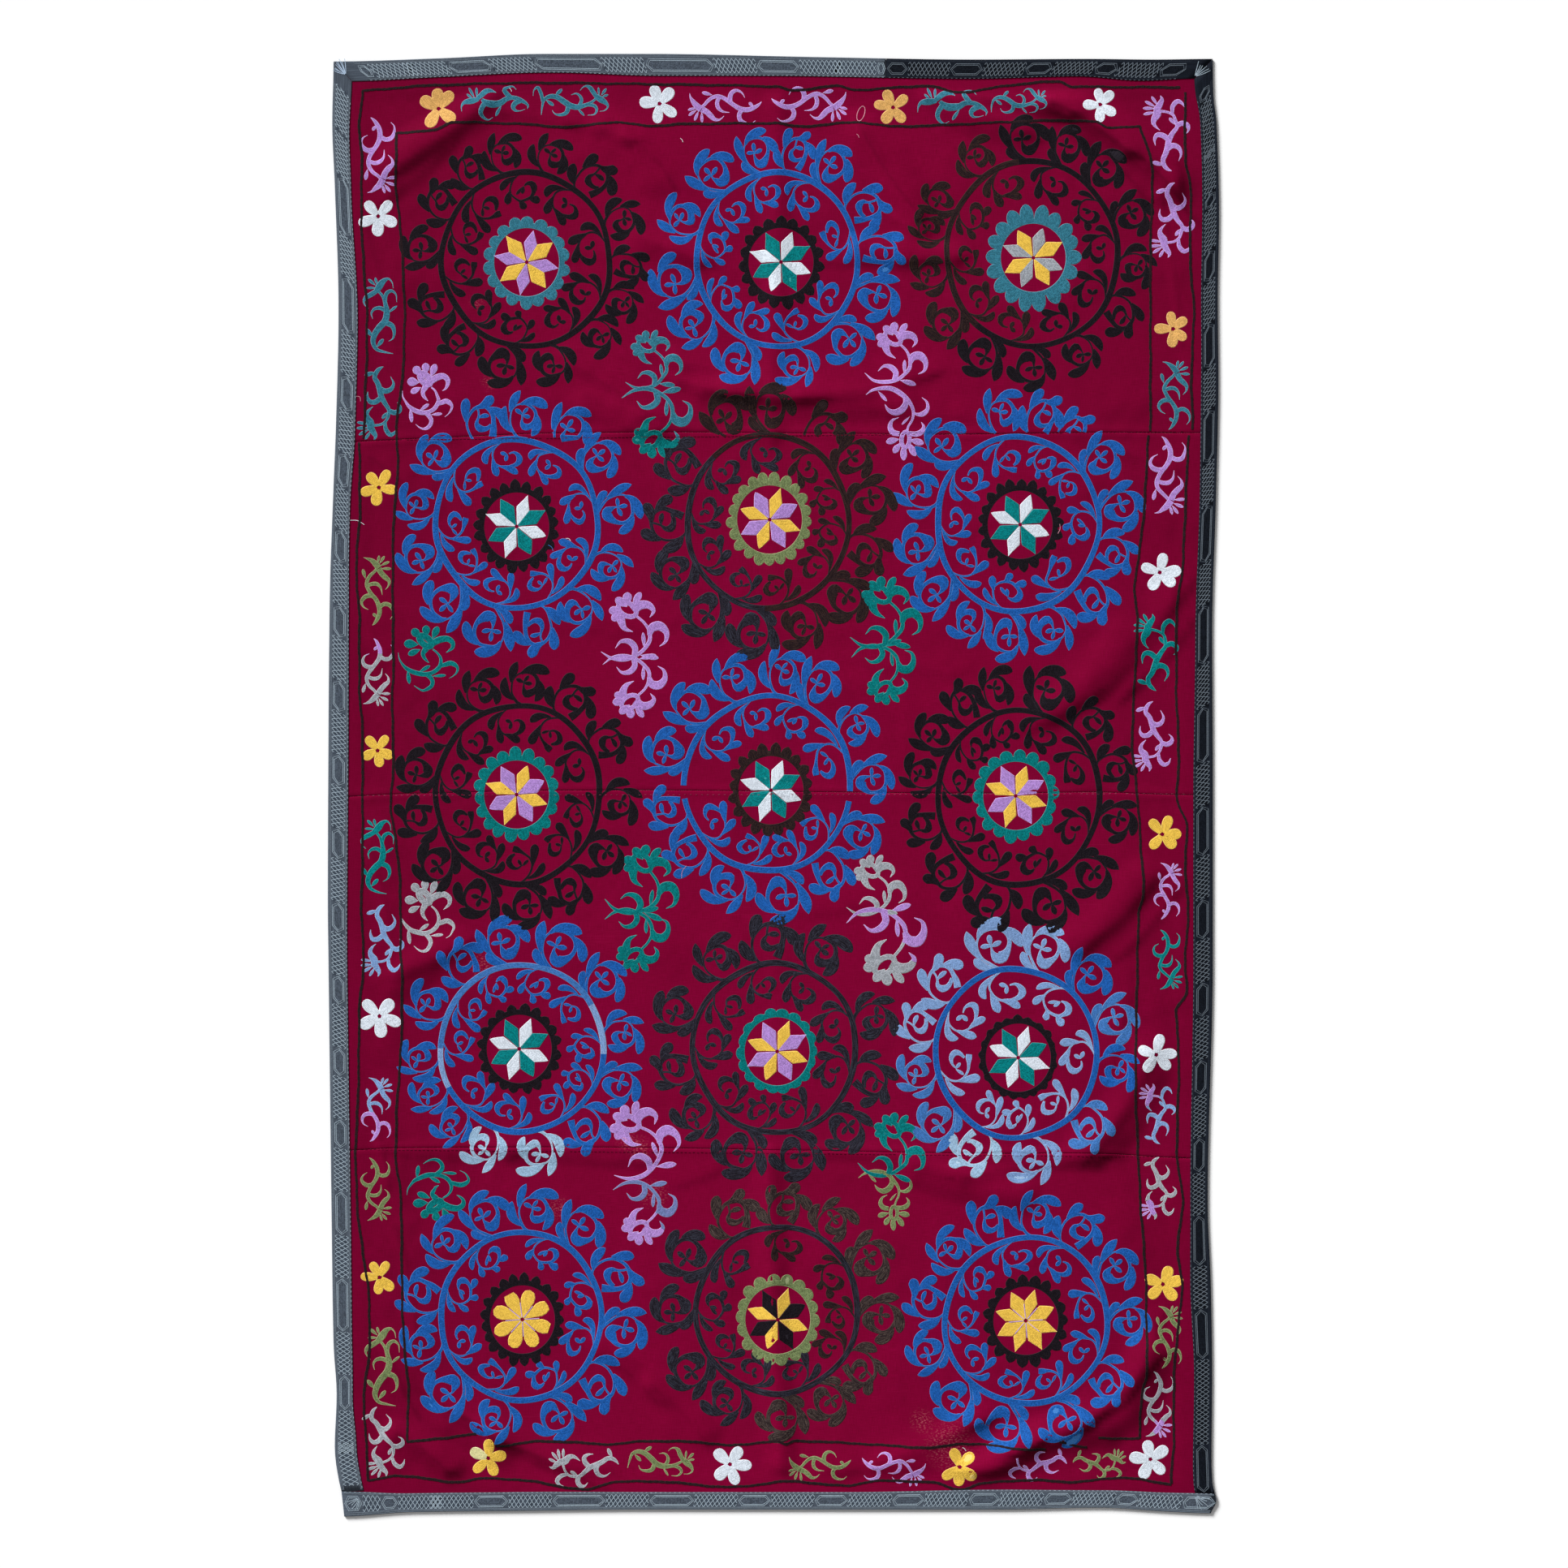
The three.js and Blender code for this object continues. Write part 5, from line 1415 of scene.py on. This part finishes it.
FIELD_SPRIGS = table("x1 y1 x2 y2 mirror head tail",
    (190, 711, 145, 655, 0, "lilac"),
    (-202, 699, -235, 640, 0, "teal"), (-194, 548, -241, 615, 1, "jade", "teal"),
    (-232, 279, -274, 212, 0, "lilac"), (-228, 132, -271, 192, 1, "lilac"),
    (-208, -123, -268, -181, 0, "jade"), (-222, -272, -268, -213, 1, "jade"),
    (-230, -537, -253, -620, 0, "lilac"), (-214, -705, -255, -643, 1, "lilac", "slate"),
    (154, -135, 116, -194, 0, "grey"), (177, -287, 116, -219, 1, "grey", "lilac"),
    (170, 303, 122, 235, 0, "jade"), (175, 152, 124, 203, 1, "jade"),
    (188, -546, 134, -600, 0, "jade"))
HANGING_SPRIGS = table("x1 y1 x2 y2 head", (208, 549, 147, 620, "lilac"), (190, -680, 135, -624, "olive"))
NEAR_SPRIGS = table("x y wide tall head", (-543.5, 633, 1, 1, "lilac"), (-541, 216.6, 1.2, 0.98, "jade"),
    (-543.6, -191.2, 1.1, 1.08, "grey"), (-525, -656.9, 1.25, -0.93, "jade"))
FLOWERS = table("x y reach colour petals",
    (-532, 1075, 34, "orange", (150, 96, 48, -37, -119)), (-181, 1083, 32, "white", (177, 110, 50, -35, -95)),
    (190, 1077, 30, "orange", (114, 171, 42, -52, -123)), (519, 1081, 28, "white", (101, 45, -30, -91, 178)),
    (635, 725, 28, "orange", (98, 34, -40, -96, 180)), (614, 338, 32, "white", (78, 8, -41, -122, 160)),
    (618, -78, 30, "yellow", (131, 69, 3, -45, -133)), (608, -428, 31, "white", (75, 0, -49, -125, 158)),
    (619, -793, 32, "yellow", (70, 14, -49, -136, 161)), (599, -1071, 32, "white", (100, 36, -45, -116, 171)),
    (-628, 904, 31, "white", (128, 48, -23, -94, -161)), (-627, 473, 30, "yellow", (129, 60, -7, -100, -163)),
    (-629, 55, 27, "yellow", (131, 55, -24, -82, -150)), (-626, -367, 34, "white", (135, 48, -22, -84, -149)),
    (-626, -782, 28, "yellow", (119, 60, -43, -97, 176)),
    (-453, -1069, 30, "yellow", (155, 88, 10, -70, -137)),
    (-69, -1079, 32, "white", (135, 55, -2, -70, -135)),
    (296, -1083, 32, "yellow", (115, 42, -38, -91, -147)))


def between(row, tail, mirror):
    """A sprig's own frame laid from its flower to its tail's end, and its size there."""
    here, there = complex(row["x1"], row["y1"]), complex(row["x2"], row["y2"])
    flip = -1 if mirror else 1
    turn = (there - here) / complex(tail[0], tail[1] * flip)

    def put(x, y):
        z = here + turn * (np.asarray(x, float) + 1j * flip * np.asarray(y, float))
        return np.real(z), np.imag(z)

    return put, abs(turn)


CHANGE_AT = 28               # how far from its flower a sprig changes thread, where its row doesn't say


def sprig(works, put, size, row, bands, petals, eye=None):
    """A sprig in one thread, or in two that change at a distance from its flower."""
    head, tail, change = row["head"], row.get("tail", row["head"]), row.get("change", CHANGE_AT)
    for band in bands:
        control = np.array(band, float)
        control[1:-1, :2] += random.uniform(-0.5, 0.5, (len(control) - 2, 2))
        line = curve_through(control, 3.0 / size)
        x, y = put(line[:, 0], line[:, 1])
        rows = ribbon(x, y, np.maximum(line[:, 2] * size, 0.4))
        far = np.hypot(line[:, 0], line[:, 1]) > change
        if head == tail or far.all() or not far.any():
            kind = tail if far[0] else head
            works[kind].stroke(rows, kind)
            continue
        turn = int(np.argmax(far != far[0]))
        near, away = (tail, head) if far[0] else (head, tail)
        for part, kind in ((rows[: turn + 1], near), (rows[turn:], away)):
            if len(part) > 1:
                works[kind].stroke(part, kind)
    for x1, y1, x2, y2, half in petals:
        kind = tail if math.hypot(x1, y1) > change else head
        x, y = put([x1, x2], [y1, y2])
        a, b = np.array([x[0], y[0]]), np.array([x[1], y[1]])
        works[kind].leaf(a, (a + b) / 2, b, half * size, kind, blunt=0.6)
    if eye:
        middle_x, middle_y, long, short, tilt, half = eye
        x, y = put(*oval(middle_x, middle_y, long, short, tilt, 24.0))
        works[head].stroke(ribbon(x, y, half * size), head, closed=True)


class Works(dict):
    def __missing__(self, colour):
        self[colour] = Stitching(f"sprigs_{colour}")
        return self[colour]


sprigs = Works()
for row in BORDER_SPRIGS:
    kind = BORDER_KINDS[row["kind"]]
    backward = row["x2"] - row["x1"] + row["y2"] - row["y1"] < 0
    sprig(sprigs, *between(row, kind["tail"], backward), row, kind["bands"], kind["petals"])
for row in FIELD_SPRIGS:
    sprig(sprigs, *between(row, HALF_TAIL, row["mirror"]), row, HALF_BANDS, HALF_PETALS, HALF_EYE)
for row in HANGING_SPRIGS:
    sprig(sprigs, *between(row, HANGING_TAIL, False), row, HANGING_BANDS, HANGING_PETALS, HANGING_EYE)


def beside(row):
    """A sprig's own frame laid upright, and stretched."""
    def put(x, y):
        return row["x"] + row["wide"] * np.asarray(x, float), row["y"] + row["tall"] * np.asarray(y, float)

    return put


for row in NEAR_SPRIGS:
    sprig(sprigs, beside(row), NEAR_SIZE, row, NEAR_BANDS, NEAR_PETALS, NEAR_EYE)

flowers = Works()
for row in FLOWERS:
    work = flowers.setdefault("f_" + row["colour"], Stitching("flowers_" + row["colour"]))
    centre = np.array([row["x"], row["y"]], float)
    for k, degrees in enumerate(row["petals"]):
        way = heading(math.radians(degrees))
        side = np.array([-way[1], way[0]]) * random.uniform(-1.5, 1.5)
        reach = row["reach"] * random.uniform(0.94, 1.08)
        colour = "cream" if row["x"] == -453 and k == 0 else row["colour"]
        work.leaf(centre + way * 3.0, centre + way * reach * 0.55 + side, centre + way * reach,
                  row["reach"] * random.uniform(0.27, 0.32), colour, belly=0.62, root=0.5, blunt=0.45)
sprig_pieces = [work.piece() for work in (*sprigs.values(), *flowers.values())]

# the border's two dark lines
OUTER_LINE = {
    "top": table("at line", (-653, 1104), (-562, 1111), (-378, 1116), (-197, 1114), (4, 1110), (30, 1104),
        (99, 1111), (132, 1105), (244, 1111), (293, 1101), (382, 1113), (453, 1118), (476, 1110),
        (646, 1109)),
    "right": table("at line", (-1110, 632), (-1042, 636), (-955, 636), (-869, 642), (-799, 649), (-731, 642),
        (-661, 651), (-629, 646), (-577, 641), (-439, 644), (-359, 640), (-328, 657), (-290, 654),
        (-190, 659), (-139, 654), (-69, 657), (-17, 641), (48, 644), (152, 640), (265, 640), (348, 650),
        (452, 655), (555, 660), (566, 666), (644, 664), (755, 668), (838, 662), (949, 663), (997, 654),
        (1101, 654)),
    "bottom": table("at line", (-644, -1105), (-599, -1097), (-503, -1107), (-454, -1101), (-384, -1106),
        (-299, -1119), (-253, -1107), (-197, -1106), (-66, -1115), (26, -1106), (115, -1113), (164, -1105),
        (248, -1107), (297, -1119), (328, -1110), (410, -1104), (473, -1107), (556, -1100), (632, -1110)),
    "left": table("at line", (-1105, -644), (-1033, -648), (-967, -651), (-901, -642), (-835, -642),
        (-736, -653), (-687, -660), (-585, -664), (-493, -660), (-428, -659), (-361, -658), (-272, -651),
        (-202, -655), (-121, -653), (-21, -653), (77, -653), (159, -658), (263, -658), (344, -663),
        (443, -657), (545, -658), (552, -651), (608, -649), (706, -646), (755, -646), (821, -651),
        (920, -655), (986, -654), (1052, -658), (1104, -653)),
}
INNER_LINE = {
    "top": table("at line", (-599, 1037), (-539, 1040), (-510, 1053), (-424, 1052), (-325, 1046),
        (-253, 1053), (-197, 1048), (-132, 1051), (0, 1052), (40, 1047), (132, 1053), (191, 1047),
        (319, 1051), (366, 1053), (439, 1056), (511, 1053), (530, 1044), (583, 1046)),
    "right": table("at line", (-1038, 582), (-958, 586), (-937, 593), (-799, 592), (-661, 583), (-577, 579),
        (-473, 575), (-300, 578), (-207, 580), (-172, 588), (-104, 584), (-17, 578), (69, 570), (152, 573),
        (261, 578), (313, 574), (382, 583), (452, 590), (555, 596), (564, 599), (644, 599), (838, 599),
        (969, 602), (1017, 592), (1046, 583)),
    "bottom": table("at line", (-582, -1042), (-529, -1038), (-473, -1031), (-440, -1049), (-365, -1042),
        (-259, -1047), (-197, -1042), (-115, -1044), (-66, -1049), (6, -1042), (19, -1047), (34, -1042),
        (132, -1046), (252, -1052), (301, -1046), (431, -1055), (455, -1043), (497, -1052), (517, -1037),
        (582, -1038)),
    "left": table("at line", (-1042, -582), (-967, -580), (-884, -587), (-819, -590), (-713, -591),
        (-657, -592), (-591, -600), (-526, -599), (-394, -591), (-295, -590), (-272, -592), (-170, -593),
        (-87, -600), (-38, -608), (45, -604), (127, -606), (190, -604), (312, -605), (410, -604), (509, -597),
        (575, -599), (640, -590), (706, -587), (740, -586), (806, -588), (887, -593), (953, -600),
        (1037, -599)),
}
# Where a line stops and starts again.
LINE_GAPS = table("edge line low high", ("bottom", "inner", -472, -441), ("bottom", "inner", 432, 454),
                  ("bottom", "inner", 498, 516), ("left", "outer", 545, 551), ("right", "outer", 556, 565),
                  ("right", "inner", 556, 563))


BORDER_HALF = 2.05           # half of a line's width, which swells a little along it


def border_line(name, lines):
    work = Stitching(f"border_line_{name}")
    for edge, rows in lines.items():
        upright = edge in ("left", "right")
        cuts = [(g["low"], g["high"]) for g in LINE_GAPS if g["edge"] == edge and g["line"] == name]
        starts = [rows[0]["at"]] + [high for _, high in cuts]
        stops = [low for low, _ in cuts] + [rows[-1]["at"]]
        for start, stop in zip(starts, stops):
            at = np.linspace(start, stop, max(3, int((stop - start) / 2.3)))
            across = through(rows, "line", at) + 0.5 * np.sin(at / 13.0) + 0.3 * np.sin(at / 5.1)
            half = BORDER_HALF + 0.3 * np.sin(at * 2 * math.pi / 9.0) + 0.2 * np.sin(at / 31.0)
            xy = (across, at) if upright else (at, across)
            work.stroke(ribbon(*xy, half), "line", rise=0.7)
    return work.piece()


border_lines = [border_line("outer", OUTER_LINE), border_line("inner", INNER_LINE)]

# seam stitches and loose threads
SEAM_STITCHES = table("seam colour pitch long half", (0, "wine", 6.5, 3.6, 0.5), (1, "faint", 9.0, 3.0, 0.3),
                      (2, "wine", 6.0, 3.8, 0.6))
SEAM_TO = 655                # how far the seam stitches go to either side
ABOVE_SEAM = 2.6
SKIPPED = 0.08               # the share of the stitches that is worn away
seam_work = Stitching("seam_stitches")
for row in SEAM_STITCHES:
    seam = SEAMS[row["seam"]]
    for x in np.arange(-SEAM_TO, SEAM_TO, row["pitch"]):
        if random.random() < SKIPPED:
            continue
        y = seam_height(seam, x) + ABOVE_SEAM + random.uniform(-0.3, 0.3)
        ends = np.array([x, x + row["long"]]), np.array([y, y + random.uniform(-0.3, 0.3)])
        seam_work.stroke(ribbon(*ends, row["half"]), row["colour"], rise=0.45)
LOOSE = table("colour x1 y1 x2 y2 bow", ("white", -673, 421, -650, 414, 3), ("rose", -664, 618, -656, 610, 4),
    ("blue", -358, 382, -350, 372, 2), ("rose", -146, -148, -138, -128, 3),
    ("white", -148, 1028, -144, 1022, 1), ("rose", 132, 1034, 136, 1028, 1),
    ("white", -330, 392, -322, 388, 2), ("rose", -240, -560, -232, -566, 2),
    ("white", 300, -1052, 306, -1058, 1), ("rose", 455, 415, 452, 400, 2),
    ("white", -420, 1108, -416, 1102, 1))
for row in LOOSE:
    a, b = np.array([row["x1"], row["y1"]], float), np.array([row["x2"], row["y2"]], float)
    run = (b - a) / np.hypot(*(b - a))
    middle = (a + b) / 2 + row["bow"] * np.array([-run[1], run[0]])
    line = curve_through([(*a, 0.35), (*middle, 0.4), (*b, 0.35)], 2.0)
    seam_work.stroke(line, row["colour"], rise=0.5, lift=0.15)
seam_work.stroke(ribbon(*oval(139, 1067, 12.5, 5.6, 72, 15.0), 0.55), "rose", rise=0.4, closed=True)
seam_piece = seam_work.piece()

# cloth sizes
def flat_size(panel):
    """A panel's cut size in metres: its middle width by its middle length."""
    i, j = panel.x.shape[0] // 2, panel.x.shape[1] // 2
    wide = np.hypot(np.diff(panel.x[i]), np.diff(panel.y[i])).sum()
    tall = np.hypot(np.diff(panel.x[:, j]), np.diff(panel.y[:, j])).sum()
    return wide * MM, tall * MM


on_cloth = [[] for _ in PANELS]
for piece in (*tapes, *patterns, corners, *vines, *centres, *sprig_pieces, *border_lines, seam_piece):
    y = sum(corner[1] for corner in piece.bound_box) / 8 / MM
    on_cloth[sum(y > (s["left"] + s["right"]) / 2 for s in SEAMS)].append(piece)
for panel, cloth, pieces in zip(PANELS, cloths, on_cloth):
    flat_size(panel)

# floor, light and camera
def floor():
    """A pale floor just under the cover, in metres."""
    mesh = bpy.data.meshes.new("floor")
    reach, down = 9.0, -0.0006
    corners_of_floor = [(reach * x, reach * y, down) for x, y in ((-1, -1), (1, -1), (1, 1), (-1, 1))]
    mesh.from_pydata(corners_of_floor, [], [(0, 1, 2, 3)])
    material, tree = shaded("pale_floor")
    surface = tree.nodes["Principled BSDF"]
    soft = noise(tree, tree.nodes.new("ShaderNodeTexCoord").outputs["Object"], 2.0, 2.0)
    pale = mixed(tree, soft, [0.86, 0.86, 0.865, 1], [0.88, 0.88, 0.88, 1])
    tree.links.new(pale, surface.inputs["Base Color"])
    surface.inputs["Roughness"].default_value = 0.9
    mesh.materials.append(material)
    put_in_scene("floor", mesh)


def sun(name, comes_from, strength, softness):
    light = bpy.data.lights.new(name, "SUN")
    light.energy = strength
    light.angle = math.radians(softness)
    lamp = put_in_scene(name, light)
    lamp.rotation_euler = (-Vector(comes_from)).to_track_quat("-Z", "Y").to_euler()


floor()
sun("key", KEY_FROM, KEY_SHARE * math.pi / Vector(KEY_FROM).normalized().z, KEY_SOFTNESS)
world = bpy.data.worlds.new("studio")
world.use_nodes = True
world.node_tree.nodes["Background"].inputs["Color"].default_value = (1, 1, 1, 1)
world.node_tree.nodes["Background"].inputs["Strength"].default_value = BRIGHTNESS - KEY_SHARE
bpy.context.scene.world = world
bpy.context.scene.view_settings.view_transform = "Standard"

LENS, SENSOR = 120.0, 36.0
SEEN = 2.492                 # width in metres of what the camera sees
LOOKED_AT = (0.0168, 0.0019)
camera = bpy.data.cameras.new("camera")
camera.lens, camera.sensor_width = LENS, SENSOR
camera.dof.use_dof = False
view = put_in_scene("camera", camera)
view.location = (*LOOKED_AT, SEEN * LENS / SENSOR)
bpy.context.scene.camera = view

bpy.context.view_layer.update()
